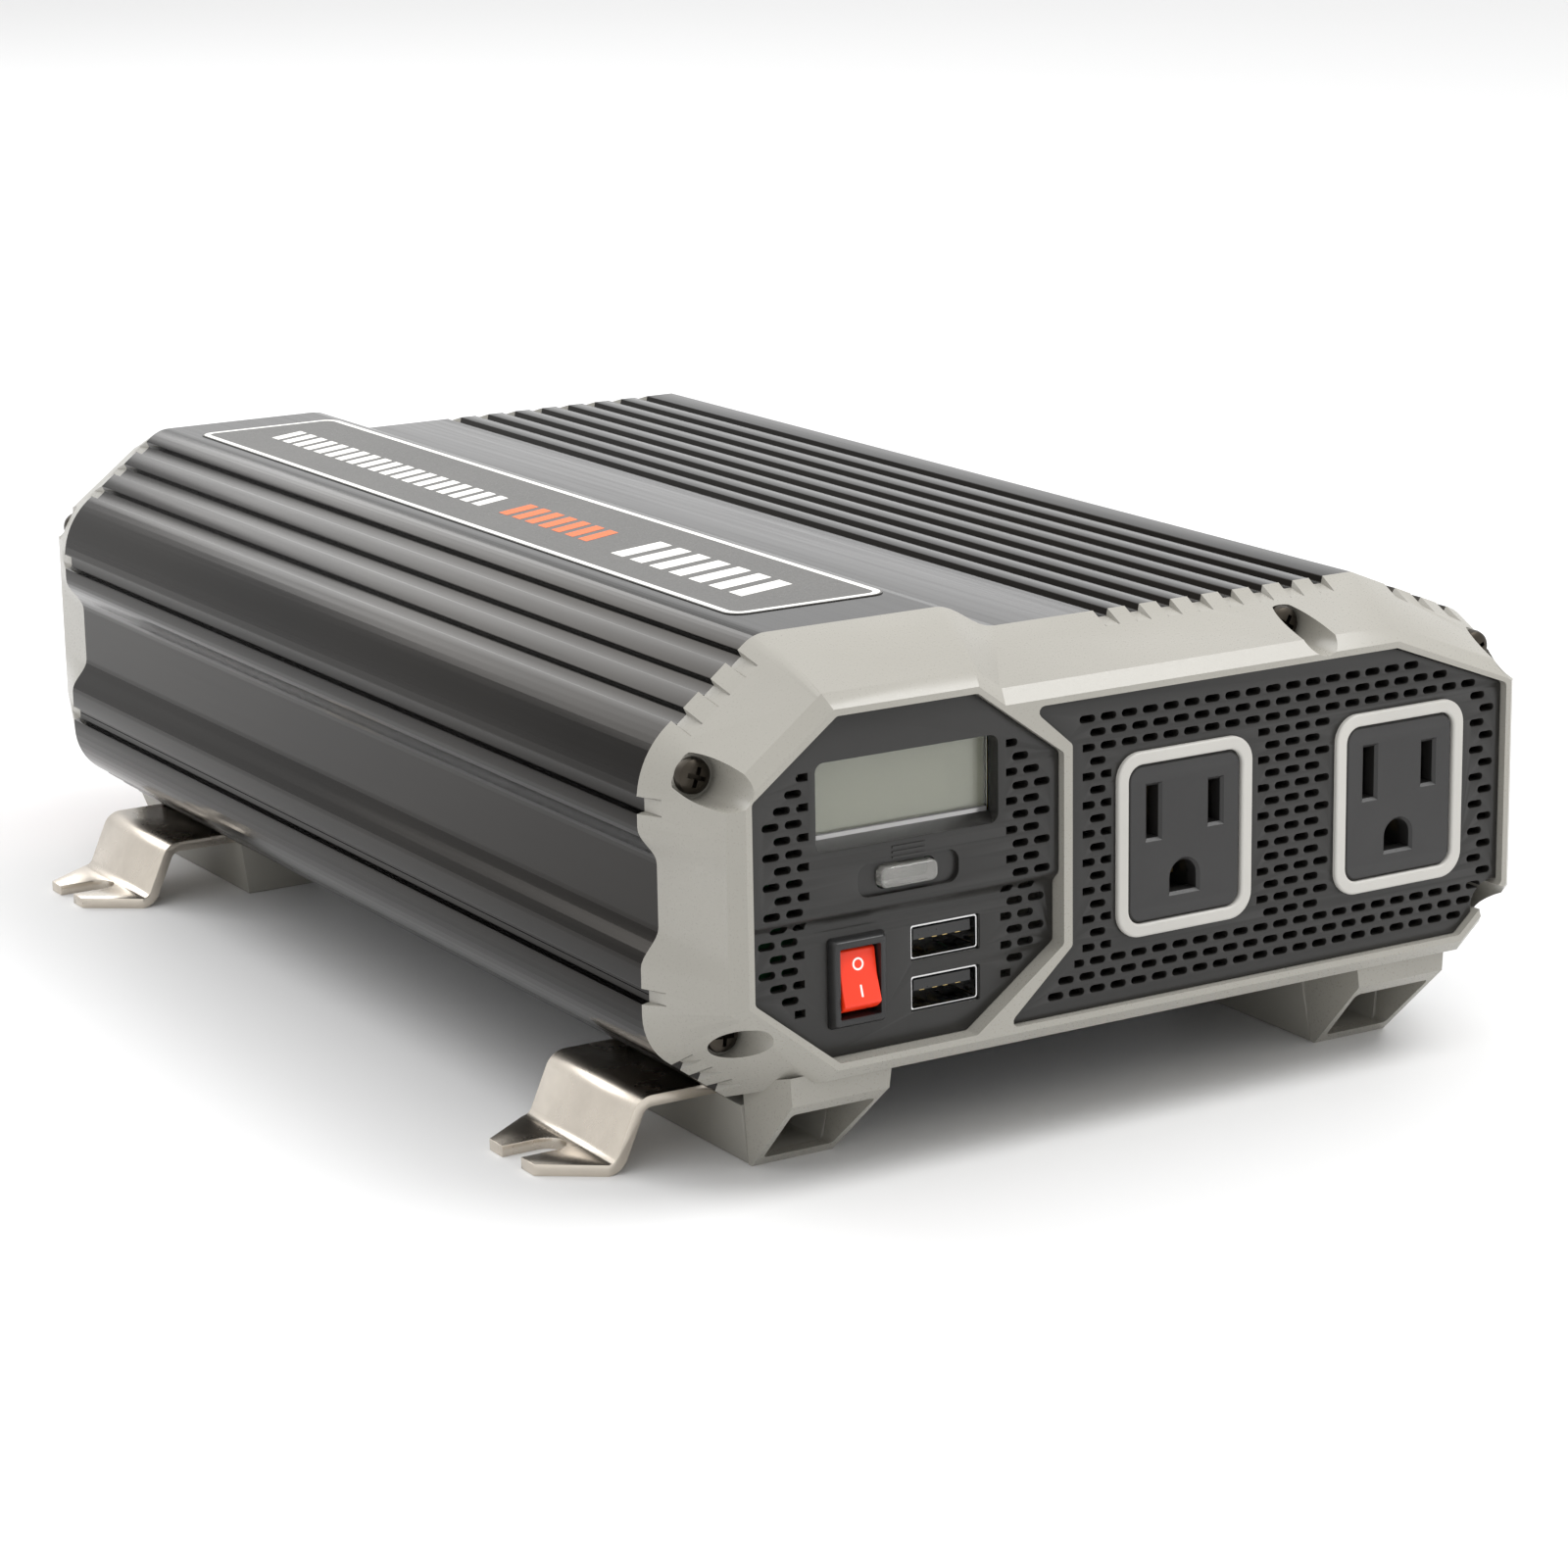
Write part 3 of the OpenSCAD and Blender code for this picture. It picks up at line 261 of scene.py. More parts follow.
def rounded(points, radius, steps=4):
    """Loop with every corner turned into an arc."""
    points = flat(points)
    out = []
    for i, b in enumerate(points):
        a, c = points[i - 1], points[(i + 1) % len(points)]
        u, v = a - b, c - b
        reach = 0.48 * min(u.length, v.length)
        u.normalize()
        v.normalize()
        angle = u.angle(v)
        if angle > math.pi - 0.05:
            out.append(b)
            continue
        cut = min(radius / math.tan(angle / 2), reach)
        r = cut * math.tan(angle / 2)
        centre = b + (u + v).normalized() * r / math.sin(angle / 2)
        start, end = b + u * cut - centre, b + v * cut - centre
        turn = start.angle_signed(end)
        for k in range(steps + 1):
            out.append(centre + Matrix.Rotation(-turn * k / steps, 2) @ start)
    return out


def box_loop(c, size, radius=0.0, steps=5):
    x, z = size[0] / 2, size[1] / 2
    loop = [(c[0] + m * x, c[1] + n * z) for m, n in ((-1, -1), (1, -1), (1, 1), (-1, 1))]
    return rounded(loop, radius, steps) if radius else flat(loop)


def circle(c, r, n=32):
    return [Vector((c[0] + r * math.cos(math.tau * k / n), c[1] + r * math.sin(math.tau * k / n)))
            for k in range(n)]


def mitre(points, e):
    """Anticlockwise loop moved outwards by e, with sharp corners."""
    points = flat(points)
    out = []
    for i, b in enumerate(points):
        u = (b - points[i - 1]).normalized()
        v = (points[(i + 1) % len(points)] - b).normalized()
        nu, nv = Vector((u.y, -u.x)), Vector((v.y, -v.x))
        out.append(b + (nu + nv) * e / (1 + nu.dot(nv)))
    return out


def plate(loops, d0, d1, edge=0.15, steps=2):
    """Flat plate with holes between two depths, its edges rounded."""
    curve = bpy.data.curves.new("plate", "CURVE")
    curve.dimensions = "2D"
    curve.fill_mode = "BOTH"
    curve.extrude = (d1 - d0) / 2 - edge
    curve.bevel_depth = edge
    curve.bevel_resolution = steps - 1
    curve.offset = -edge
    for loop in loops:
        spline = curve.splines.new("POLY")
        spline.points.add(len(loop) - 1)
        for point, p in zip(spline.points, loop):
            point.co = (p[0], p[1], 0, 1)
        spline.use_cyclic_u = True
    obj = bpy.data.objects.new("plate", curve)
    bpy.context.scene.collection.objects.link(obj)
    mesh = bpy.data.meshes.new_from_object(obj.evaluated_get(bpy.context.evaluated_depsgraph_get()))
    bpy.data.objects.remove(obj)
    mesh.transform(Matrix.Translation(at(0, (d0 + d1) / 2, 0)) @ Matrix.Rotation(math.pi / 2, 4, "X"))
    return mesh


def mesh_of(bm):
    bmesh.ops.recalc_face_normals(bm, faces=bm.faces)
    mesh = bpy.data.meshes.new("piece")
    bm.to_mesh(mesh)
    bm.free()
    return mesh


def loft(rings, ends=True):
    """Skin over rings of equal length."""
    bm = bmesh.new()
    rows = [[bm.verts.new(p) for p in ring] for ring in rings]
    n = len(rows[0])
    for a, b in zip(rows, rows[1:]):
        for i in range(n):
            bm.faces.new((a[i], a[(i + 1) % n], b[(i + 1) % n], b[i]))
    if ends:
        bm.faces.new(rows[0])
        bm.faces.new(rows[-1][::-1])
    return mesh_of(bm)


def prism(loop, a, b, place):
    """Straight solid: place(point, a) and place(point, b) give its two ends."""
    return loft([[place(p, t) for p in loop] for t in (a, b)])


def slab(loop, d0, d1):
    return prism(loop, d0, d1, lambda p, d: at(p[0], d, p[1]))


def turned(points, where, axis="Y", n=48):
    """Solid turned about an axis: points are (radius, distance along the axis)."""
    spin = {"Y": Matrix.Rotation(-math.pi / 2, 3, "X"), "Z": Matrix.Identity(3)}[axis]
    rings = []
    for r, h in points:
        r = max(r, 0.01)
        ring = [Vector((r * math.cos(math.tau * k / n), r * math.sin(math.tau * k / n), h))
                for k in range(n)]
        rings.append([Vector(where) + spin @ p for p in ring])
    return loft(rings)


def combine(first, others, operation="DIFFERENCE"):
    """Boolean of meshes in order, with the exact solver."""
    base = bpy.data.objects.new("base", first)
    bpy.context.scene.collection.objects.link(base)
    tools = []
    for mesh in others:
        tool = bpy.data.objects.new("tool", mesh)
        bpy.context.scene.collection.objects.link(tool)
        mod = base.modifiers.new("cut", "BOOLEAN")
        mod.solver = "EXACT"
        mod.operation = operation
        mod.object = tool
        tools.append(tool)
    result = bpy.data.meshes.new_from_object(base.evaluated_get(bpy.context.evaluated_depsgraph_get()))
    for obj in [base] + tools:
        bpy.data.objects.remove(obj)
    return result


def joined(meshes):
    bm = bmesh.new()
    for mesh in meshes:
        bm.from_mesh(mesh)
    out = bpy.data.meshes.new("piece")
    bm.to_mesh(out)
    bm.free()
    return out


def softened(mesh, width, steps=2, angle=35):
    """Rounds the edges that turn by more than an angle."""
    bm = bmesh.new()
    bm.from_mesh(mesh)
    bmesh.ops.remove_doubles(bm, verts=bm.verts, dist=0.002)
    bmesh.ops.dissolve_limit(bm, angle_limit=math.radians(0.5), verts=bm.verts, edges=bm.edges)
    least = math.radians(angle)
    sharp = [e for e in bm.edges if len(e.link_faces) == 2 and e.calc_face_angle(0) > least]
    bmesh.ops.bevel(bm, geom=sharp, offset=width, segments=steps, profile=0.5, affect="EDGES",
                    clamp_overlap=True)
    out = bpy.data.meshes.new("piece")
    bm.to_mesh(out)
    bm.free()
    return out


def rear(mesh):
    """The same mesh at the other end of the case."""
    mesh = mesh.copy()
    mesh.transform(Matrix.Scale(-1, 4, (0, 1, 0)))
    mesh.flip_normals()
    return mesh


def piece(name, mesh, material, slot, body="case", smooth=30, stands_for=()):
    """Puts a mesh into the scene in metres, riding on a body."""
    mesh = mesh.copy()
    mesh.name = name
    mesh.transform(Matrix.Scale(MM, 4))
    mesh.materials.clear()
    mesh.materials.append(material)
    mesh.shade_smooth()
    mesh.set_sharp_from_angle(angle=math.radians(smooth))
    obj = bpy.data.objects.new(name, mesh)
    bpy.context.scene.collection.objects.link(obj)
    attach(obj, body)
    if stands_for:
        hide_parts(*stands_for)
    return obj


def finish_node(node, material):
    """Gives a CAD node its finished material."""
    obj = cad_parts[node]
    obj.data.materials.clear()
    obj.data.materials.append(material)


# ---------------------------------------------------------------- the case's section
RIM = flat([(-33.4, 29.3), (-60.8, 29.3), (-77.1, 16.9), (-77.1, -17), (-60.9, -30),
            (67.6, -30), (77.4, -21.3), (77.4, 15.5), (52.3, 25.5), (-28.3, 25.5)])
OCTAGON = flat([(-33.6, 28.2), (-60.2, 28.2), (-76, 16.3), (-76, -16.6), (-60.3, -28.9),
                (-34, -28.9), (-16.9, -16.4), (-16.9, 16.1)])
WINDOW = flat([(52, 24.4), (-23.4, 24.4), (-15.2, 17.2), (-15.2, -16.9), (-28.6, -28.9),
               (67, -28.9), (76.3, -20.7), (76.3, 15.1)])
# Screw channels in a cap: middle and radius
SCREWS = [(-79.2, 18.7, 3.8), (79.2, 18.7, 3.8), (-75, -24.7, 3.5), (75, -24.7, 3.5), (37, 28.4, 3.4)]
SEAT = 13.5
BEVEL = 2.3
INSET = 3.4
WALL = 3.2
RIB, SIDE_RIB = 1.25, 1.4


def polar(centre, r, degrees):
    a = math.radians(degrees)
    return Vector((centre[0] + r * math.cos(a), centre[1] + r * math.sin(a)))


def bend(centre, r, a0, a1, s0, s1, n):
    """Arc of the section between two angles, with its stations on the rim."""
    return [(polar(centre, r, lerp(a0, a1, i / n)), lerp(s0, s1, i / n)) for i in range(n + 1)]


def lerp(a, b, t):
    return a + (b - a) * t


def grooves(p, q, s0, s1, starts, width, depth, g):
    """Grooves in the straight stretch from p to q, their depth times g."""
    p, q = Vector(p), Vector(q)
    length = (q - p).length
    u = (q - p) / length
    n = Vector((-u.y, u.x))
    out = []
    for c in starts:
        for along, down, lean in ((0, 0, 0), (0, 1, 0.25), (1, 1, -0.25), (1, 0, 0)):
            m = c + along * width + lean
            out.append((p + u * m + n * depth * g * down, s0 + (s1 - s0) * m / length))
    return out


def ess(p, q, s0, s1, ease_x, n=8):
    """S-shaped step of the section from p to q, eased in x or in z."""
    out = []
    for i in range(n + 1):
        t = i / n
        e = (1 - math.cos(math.pi * t)) / 2
        out.append((Vector((lerp(p[0], q[0], e if ease_x else t), lerp(p[1], q[1], t if ease_x else e))),
                    lerp(s0, s1, t)))
    return out


def left_s(z):
    """Station on the rim beside a height of the section's left side."""
    return 2 + (RIM[2].y - z) / 34.4 if z > -13.8 else 2.91 + (-13.8 - z) * 0.0117


def right_s(z):
    return 6 + max(z + 21.3, 0.05) / 36.8


def outline(g):
    """The section's outline as (point, station on the rim), anticlockwise from the step in the top."""
    w, h = HALF_W, HALF_H
    label_c, right_c = Vector((-61.1, h - 6.5)), Vector((w - 9, 16.2))
    shoulder_c = Vector((15 - w, 13.6))
    label_end, shoulder = polar(label_c, 6.5, 129), polar(shoulder_c, 15, 129)
    right_end = polar(right_c, 9, 67.5)
    skirt = polar((w - 11, -21.5), 11, 305)
    keel = w - 15.1
    return (
        [(Vector((-29.2, h)), 0.02)]
        + bend(label_c, 6.5, 90, 129, 1, 1.06, 6)
        + grooves(label_end, shoulder, 1.06, 1.9, [1.3, 7.8, 14.3], 2.9, RIB, g)
        + bend(shoulder_c, 15, 129, 174, 1.9, 2, 10)
        + grooves((-w, 16), (-w, 0), left_s(16), left_s(0), [1.3], 2.9, SIDE_RIB, g)
        + ess((-w, 9.6), (-w + INSET, 3), left_s(9.6), left_s(3), True)
        + ess((-w + INSET, -7.5), (-w, -13.8), left_s(-7.5), left_s(-13.75), True)
        + grooves((-w, -14), (-w, -21), left_s(-14), left_s(-21), [3.1], 2.7, SIDE_RIB, g)
        + bend((11 - w, -21.5), 11, 180, 235, 3, 3.12, 8)
        + grooves((-skirt.x, skirt.y), (-keel, -h), 3.12, 3.97, [0.6, 4.6, 8.6], 2, RIB, g)
        + [(Vector((-keel, -h)), 4), (Vector((keel, -h)), 5)]
        + grooves((keel, -h), skirt, 5.03, 5.9, [2.3, 6.3, 10.3], 2, RIB, g)
        + bend((w - 11, -21.5), 11, 305, 360, 5.9, 6, 8)
        + grooves((w, -21), (w, -14), right_s(-20.5), right_s(-14), [1.2], 2.7, SIDE_RIB, g)
        + ess((w, -13.8), (w - INSET, -7.5), right_s(-13.8), right_s(-7.5), True)
        + ess((w - INSET, 3), (w, 9.6), right_s(3), right_s(9.6), True)
        + grooves((w, 0), (w, 16), right_s(0), right_s(15.4), [11.8], 2.9, SIDE_RIB, g)
        + bend(right_c, 9, 5, 67.5, 6.99, 7.08, 8)
        + grooves(right_end, (57.6, LOW_TOP), 7.08, 7.98, [0.6, 6.9, 13.2], 2.6, RIB, g)
        + [(Vector((57.6, LOW_TOP)), 8)]
        + grooves((57.6, LOW_TOP), (-17, LOW_TOP), 8, 8.9, [6.2 + 6.5 * i for i in range(8)], 3, RIB, g)
        + ess((-17, LOW_TOP), (-28.6, h), 9, 10, False))


def rim_point(loop, s):
    """Point at a station, which counts the rim's corners."""
    a, b = loop[int(s) % 10], loop[(int(s) + 1) % 10]
    return a + (b - a) * (s - int(s))


# ---------------------------------------------------------------- shells
def shells():
    """Upper and lower extrusions with rounded rib edges."""
    section = rounded([p for p, s in outline(1)], 0.32, 2)
    inner = flat([(-29, HALF_H - WALL), (-60, HALF_H - WALL), (-79.2, 20.5), (-79.2, -27),
                  (-69.5, -HALF_H + 3), (69.5, -HALF_H + 3), (79.2, -27), (79.2, 20.5),
                  (56.5, LOW_TOP - WALL), (-21.5, LOW_TOP - WALL)])
    end = CAP_L + 2 * CORE
    whole = combine(slab(section, CAP_L, end), [slab(inner, CAP_L - 1, end + 1)])
    gap = 0.08
    lid = slab(box_loop((0, 50 + SPLIT + gap), (220, 100)), 0, 300)
    tray = slab(box_loop((0, SPLIT - 50 - gap), (220, 100)), 0, 300)
    upper = combine(whole.copy(), [lid], "INTERSECT")
    lower = combine(whole.copy(), [tray], "INTERSECT")
    piece("case_lid", upper, CASE, "anodised_case", smooth=32, stands_for=["upper_shell"])
    piece("case_tray", lower, CASE, "anodised_case", smooth=32, stands_for=["lower_shell"])


# ---------------------------------------------------------------- end caps
def nose(m):
    """Hollow foot nose under a corner of a cap: m is -1 left, 1 right."""
    low = -HALF_H - FOOT_H
    side = flat([(CAP_L, low), (19, low), (4.3, -36.3), (4.3, -31.4), (CAP_L, -HALF_H + 2)])
    wedge = prism(side, -100, 100, lambda p, x: at(x, p[0], p[1]))
    front = [(m * 67.3, -30), (m * 66, low), (m * 50.4, low), (m * 47.6, -30)]
    duct = [(m * 65.7, -38.4), (m * 64.9, low + 1.8), (m * 51.6, low + 1.8), (m * 49.6, -38.4)]
    return combine(combine(wedge, [slab(flat(front), 0, CAP_L)], "INTERSECT"),
                   [slab(rounded(duct, 0.8), -1, CAP_L + 1)])


def cap_mesh():
    """Skin from the ribbed section to the rim, with its windows, feet and screw channels."""
    tip = mitre(RIM, BEVEL)

    def ring(depth, t, g, loop):
        flat_ring = [lerp(p, rim_point(loop, s), t) for p, s in outline(g)]
        return [at(p.x, depth, p.y) for p in flat_ring]

    body = loft([ring(CAP_L, 0, 1, RIM), ring(CAP_L - 5, 0.28, 0, tip), ring(BEVEL, 1, 0, tip),
                 ring(0, 1, 0, RIM)])
    body = combine(body, [nose(-1), nose(1)], "UNION")
    cuts = [slab(rounded(OCTAGON, 1), -1, CAP_L + 1), slab(rounded(WINDOW, 1), -1, CAP_L + 1)]
    for x, z, r in SCREWS:
        cuts.append(turned([(r, -1), (r, SEAT - 0.4), (r - 0.4, SEAT)], at(x, 0, z), "Y"))
    return softened(combine(body, cuts), 0.3, 2, 28)


def caps():
    mesh = cap_mesh()
    piece("front_end_cap", mesh, CAP, "cap_plastic", smooth=25, stands_for=["front_cap"])
    piece("rear_end_cap", rear(mesh), CAP, "cap_plastic", smooth=25, stands_for=["rear_cap"])


# ---------------------------------------------------------------- vents
VENT_W, VENT_H, VENT_LEAST = 3.1, 1.25, 1.4
PITCH, RISE = 4.22, 2.43
OUTLET_X = (8.2, 53.65)
OUTLET_Z = 3.05
BLADE_X, GROUND_DROP = 6.35, 11.89
RING_Z = OUTLET_Z - 5.2
RING_SIZE = (27.6, 31.7)
PANEL_X = -46.1


def vent(c, z, low, high):
    """One slot of the grid between low and high, as no loop or one.

    Ends that the limits cut off are square, the others round.
    """
    a, b = c - VENT_W / 2, c + VENT_W / 2
    x0, x1 = max(a, low), min(b, high)
    if x1 - x0 < VENT_LEAST:
        return []
    r = VENT_H / 2
    loop = []
    for x, side, square in ((x1, 1, x1 < b), (x0, -1, x0 > a)):
        if square:
            loop += [Vector((x, z - side * r)), Vector((x, z + side * r))]
        else:
            middle = Vector((x - side * r, z))
            loop += [middle + side * r * polar((0, 0), 1, t) for t in range(-90, 91, 30)]
    return [loop]


def row_spans(z):
    """Stretches of a row that hold slots, beside and between the outlets."""
    low = -12.9 if z > 20 else -12.2 if z > -18.5 else -13.8 + (z + 20.7) * 1.4
    high = min(75, 58 + (20.6 - z) * 2.66) if z > -18.5 else 72.9 + (z + 20.7) * 0.9
    if abs(z - RING_Z) > RING_SIZE[1] / 2 + 0.3:
        return [(low, high)]
    keep = RING_SIZE[0] / 2 + 0.9
    a, b = OUTLET_X
    return [(low, a - keep), (a + keep + 0.8, b - keep), (b + keep + 0.8, high)]


def wide_vents():
    loops = []
    for j in range(20):
        z = 20.6 - RISE * j
        for low, high in row_spans(z):
            for k in range(23):
                loops += vent(-19.74 + PITCH * (k + (j % 2) / 2), z, low, high)
    return loops


def side_vents():
    loops = []
    for j in range(17):
        z = 18.8 - RISE * j - (0.4 if j > 9 else 0)
        reach = min(27.4, 40.6 - abs(z + 0.6))
        for k in range(2):
            x = 19.45 + PITCH * (k + (j % 2) / 2)
            loops += vent(PANEL_X + x, z, PANEL_X + 18.8, PANEL_X + reach)
            loops += vent(PANEL_X - x, z, PANEL_X - reach, PANEL_X - 18.8)
    return loops


# ---------------------------------------------------------------- front panels
PANEL_D = 1.4
LOW_D = 3.2
PLATE_BACK = 4.5
PANEL_GAP = 0.12
LCD = ((-63.5, 7.4), (-28.9, 20.6))
BUTTON = (-46.2, 0.1)
ROCKER = (-55.3, -16.5)
ROCKER_R = 5.5
ROCKER_REST = -12
USB = ((-38.05, -12.4), (-38.05, -21))


def panel_loop(opening):
    """A panel's edge: the cap's opening less a small gap, with its corners rounded."""
    return rounded(mitre(opening, -PANEL_GAP), 0.9)


def channel_tools():
    """Cylinders that notch the panels beside the screw channels."""
    return [turned([(r + 1, -2), (r + 1, CAP_L)], at(x, 0, z)) for x, z, r in SCREWS]


def stepped(mesh):
    """Sets the lower half of the control panel back, behind a short S-shaped slope."""
    top, low = -3.9, -6.6
    bm = bmesh.new()
    bm.from_mesh(mesh)
    for k in range(6):
        bmesh.ops.bisect_plane(bm, geom=bm.verts[:] + bm.edges[:] + bm.faces[:],
                               plane_co=(0, 0, MID + lerp(top, low, k / 5)), plane_no=(0, 0, 1))
    for v in bm.verts:
        t = min(1, max(0, (MID + top - v.co.z) / (top - low)))
        fixed = min(1, max(0, (FRONT + PLATE_BACK - v.co.y) / 1.2))
        v.co.y += (LOW_D - PANEL_D) * (1 - math.cos(math.pi * t)) / 2 * fixed
    out = bpy.data.meshes.new("piece")
    bm.to_mesh(out)
    bm.free()
    return out


def control_panel():
    (x0, z0), (x1, z1) = LCD
    display = box_loop(((x0 + x1) / 2, (z0 + z1) / 2 - 0.7), (x1 - x0, z1 - z0 + 1.4), 1.5)
    holes = [display, box_loop(BUTTON, (19.2, 5.5), 2.0), box_loop(ROCKER, (9, 13.6))]
    holes += [box_loop(c, (13.3, 6.0), 0.3) for c in USB]
    face = plate([panel_loop(OCTAGON)] + holes + side_vents(), PANEL_D, PLATE_BACK, 0.12)
    face = stepped(combine(face, channel_tools()))
    piece("control_panel_face", face, PANEL, "panel_plastic", smooth=25, stands_for=["control_panel"])
    recess = plate([box_loop(BUTTON, (20.2, 6.5), 2.4), box_loop(BUTTON, (11.3, 4.0), 1.4)],
                   2.3, 3.6, 0.1)
    piece("button_recess", recess, PANEL, "panel_plastic")
    # Sill that slopes in under the display, with a bright lip where the window meets it
    sill = prism(flat([(PANEL_D + 0.1, 5.9), (4.6, 7.4), (4.6, 5.0), (PANEL_D + 0.1, 5.0)]), x0, x1,
                 lambda p, x: at(x, p[0], p[1]))
    piece("display_sill", sill, PANEL, "panel_plastic")
    lip = prism(flat([(4.35, 7.3), (4.6, 7.3), (4.6, 8.2), (4.35, 8.0)]), x0 + 0.3, x1 - 0.3,
                lambda p, x: at(x, p[0], p[1]))
    piece("display_lip", lip, LIP, "display_glass")
    for k in range(3):
        bar = plate([box_loop((BUTTON[0], 4.9 - 0.85 * k), (6.4, 0.4), 0.18)],
                    PANEL_D - 0.2, PANEL_D + 0.2, 0.08)
        piece(f"menu_mark_{k}", bar, PANEL, "panel_plastic")
    button = joined([plate([box_loop(BUTTON, (10.8, 3.5), 1.2)], 0.8, 6.9, 0.55, 4),
                     plate([box_loop(BUTTON, (13.2, 5.1), 1.6)], 6.85, 7.9, 0.1),
                     turned([(1.4, 7.8), (1.4, 11.2)], at(BUTTON[0], 0, BUTTON[1]))])
    piece("clear_menu_button", button, CLEAR, "clear_button", "button", smooth=40,
          stands_for=["menu_button"])


def rocker_switch():
    """Bezel with sloping sides, and a rocker with round ends and generic on and off marks."""
    def rect(w, h, d, r):
        return [at(p.x, d, p.y) for p in box_loop(ROCKER, (w, h), r)]
    bezel = loft([rect(8.8, 13.4, 17, 0.4), rect(8.8, 13.4, LOW_D + 0.1, 0.4),
                  rect(10.7, 15.2, LOW_D, 0.6), rect(10.6, 15.1, 2.8, 0.6), rect(9.4, 13.9, 1.6, 0.6)])
    bezel = softened(combine(bezel, [slab(box_loop(ROCKER, (7.6, 11.7), 0.2), 0, 13.5)]), 0.15, 2, 30)
    piece("switch_bezel", bezel, BLACK, "black_plastic", stands_for=["rocker_housing"])
    pivot = at(ROCKER[0], 5, ROCKER[1])
    spin = Matrix.Rotation(math.radians(ROCKER_REST), 3, "X")

    def place(p, x):
        return pivot + spin @ Vector((x, p[0], p[1]))
    side = [Vector((-2.9, 0))] + [polar((0, 0), ROCKER_R, a) for a in range(232, 291, 6)]
    side += [polar((0, 0), ROCKER_R, a) for a in range(70, 129, 6)]
    rocker = softened(prism(side, -3.5, 3.5, place), 0.3, 3, 20)
    piece("rocker", rocker, RED, "red_plastic", "rocker", smooth=25, stands_for=["power_rocker"])
    # The face's two halves run from the valley to the ends of the arcs
    valley, ends = side[0], {1: side[-1], -1: side[1]}
    marks = {"on": (-1, box_loop((0, 0), (0.35, 2.0), 0.1), []),
             "off": (1, circle((0, 0), 1.05, 24), [circle((0, 0), 0.72, 24)])}
    for name, (way, loop, holes) in marks.items():
        u = (ends[way] - valley).normalized()
        out = Vector((-abs(u.y), u.x * way))

        def on_face(p, h):
            q = valley + u * (2.2 + way * p[1]) + out * h
            return place(q, p[0])
        mark = prism(loop, 0.03, -0.2, on_face)
        if holes:
            mark = combine(mark, [prism(holes[0], 0.1, -0.4, on_face)])
        piece(f"rocker_mark_{name}", mark, WHITE_INK, "red_plastic", "rocker")


def usb_ports():
    """Steel shells with tabs and leaf springs, closed at the back."""
    for k, c in enumerate(USB):
        shell = plate([box_loop(c, (13.1, 5.8), 0.6), box_loop(c, (12.4, 5.1), 0.4)],
                      LOW_D + 0.55, 13.9, 0.1)
        tabs = [slab(box_loop((c[0] + x, c[1] - 2.7), (2.2, 0.5), 0), 5.5, 10) for x in (-3, 3)]
        extra = ["usb_shells"] if k == 0 else []
        piece(f"usb_shell_{k}", combine(shell, tabs), CHROME, "usb_steel", stands_for=extra)
        back = slab(box_loop(c, (12.6, 5.3)), 13.6, 14.2)
        piece(f"usb_back_{k}", back, BLACK, "black_plastic")
        for x in (-3, 3):
            leaf = flat([(5.5, -2.55), (8.5, -2.15), (10, -2.45), (10, -2.6), (8.5, -2.3), (5.5, -2.7)])
            spring = prism(leaf, -0.8, 0.8, lambda p, t: at(c[0] + x + t, p[0], c[1] + p[1]))
            piece(f"usb_spring_{k}_{'left' if x < 0 else 'right'}", spring, CHROME, "usb_steel")


def ground_loop(x):
    """Round-topped ground hole."""
    z = OUTLET_Z - GROUND_DROP
    r, leg = 2.7, 2.6
    top = [Vector((x, z)) + r * polar((0, 0), 1, a) for a in range(0, 181, 12)]
    return top + [Vector((x - r, z - leg)), Vector((x + r, z - leg))]


def outlets():
    holes = [box_loop((x, RING_Z), (26.6, 30.7), 4) for x in OUTLET_X]
    face = plate([panel_loop(WINDOW)] + holes + wide_vents(), PANEL_D, PLATE_BACK, 0.12)
    piece("outlet_panel_face", combine(face, channel_tools()), PANEL, "panel_plastic", smooth=25,
          stands_for=["outlet_panel"])
    rings, faces = [], []
    for x in OUTLET_X:
        inner = (RING_SIZE[0] - 4.4, RING_SIZE[1] - 4.4)
        rings.append(plate([box_loop((x, RING_Z), RING_SIZE, 4.5, 10),
                            box_loop((x, RING_Z), inner, 2.7, 8)], 0.55, 4.4, 0.4, 4))
        slots = [box_loop((x - BLADE_X, OUTLET_Z), (2.4, 9.0)),
                 box_loop((x + BLADE_X, OUTLET_Z), (2.4, 7.4)), ground_loop(x)]
        faces.append(plate([box_loop((x, RING_Z), (inner[0] - 0.15, inner[1] - 0.15), 2.6, 8)] + slots,
                           0.95, 4.4, 0.5, 1))
    piece("outlet_rings", joined(rings), RING, "frame_plastic", smooth=40, stands_for=["outlet_frames"])
    piece("outlet_sockets", joined(faces), FACE, "outlet_plastic", smooth=20,
          stands_for=["outlet_faces"])


# ---------------------------------------------------------------- screws, feet, brackets
def pan_screw(shank=18.5, head=3.0, neck=1.6):
    """Pan-head screw with a cross recess, its seat at the origin and its head towards -Y."""
    k = head / 3
    body = turned([(0, -2.2 * k), (1.5 * k, -2.16 * k), (2.3 * k, -1.95 * k), (2.8 * k, -1.5 * k),
                   (head, -0.8 * k), (head, -0.05), (head - 0.1, 0), (neck, 0.02), (neck, shank - 0.5),
                   (neck - 0.5, shank)], (0, 0, 0), n=40)
    bars = [prism(box_loop((0, 0), size), -3 * k, -0.9 * k, lambda p, y: Vector((p[0], y, p[1])))
            for size in ((0.75 * k, 3.4 * k), (3.4 * k, 0.75 * k))]
    return combine(body, bars)


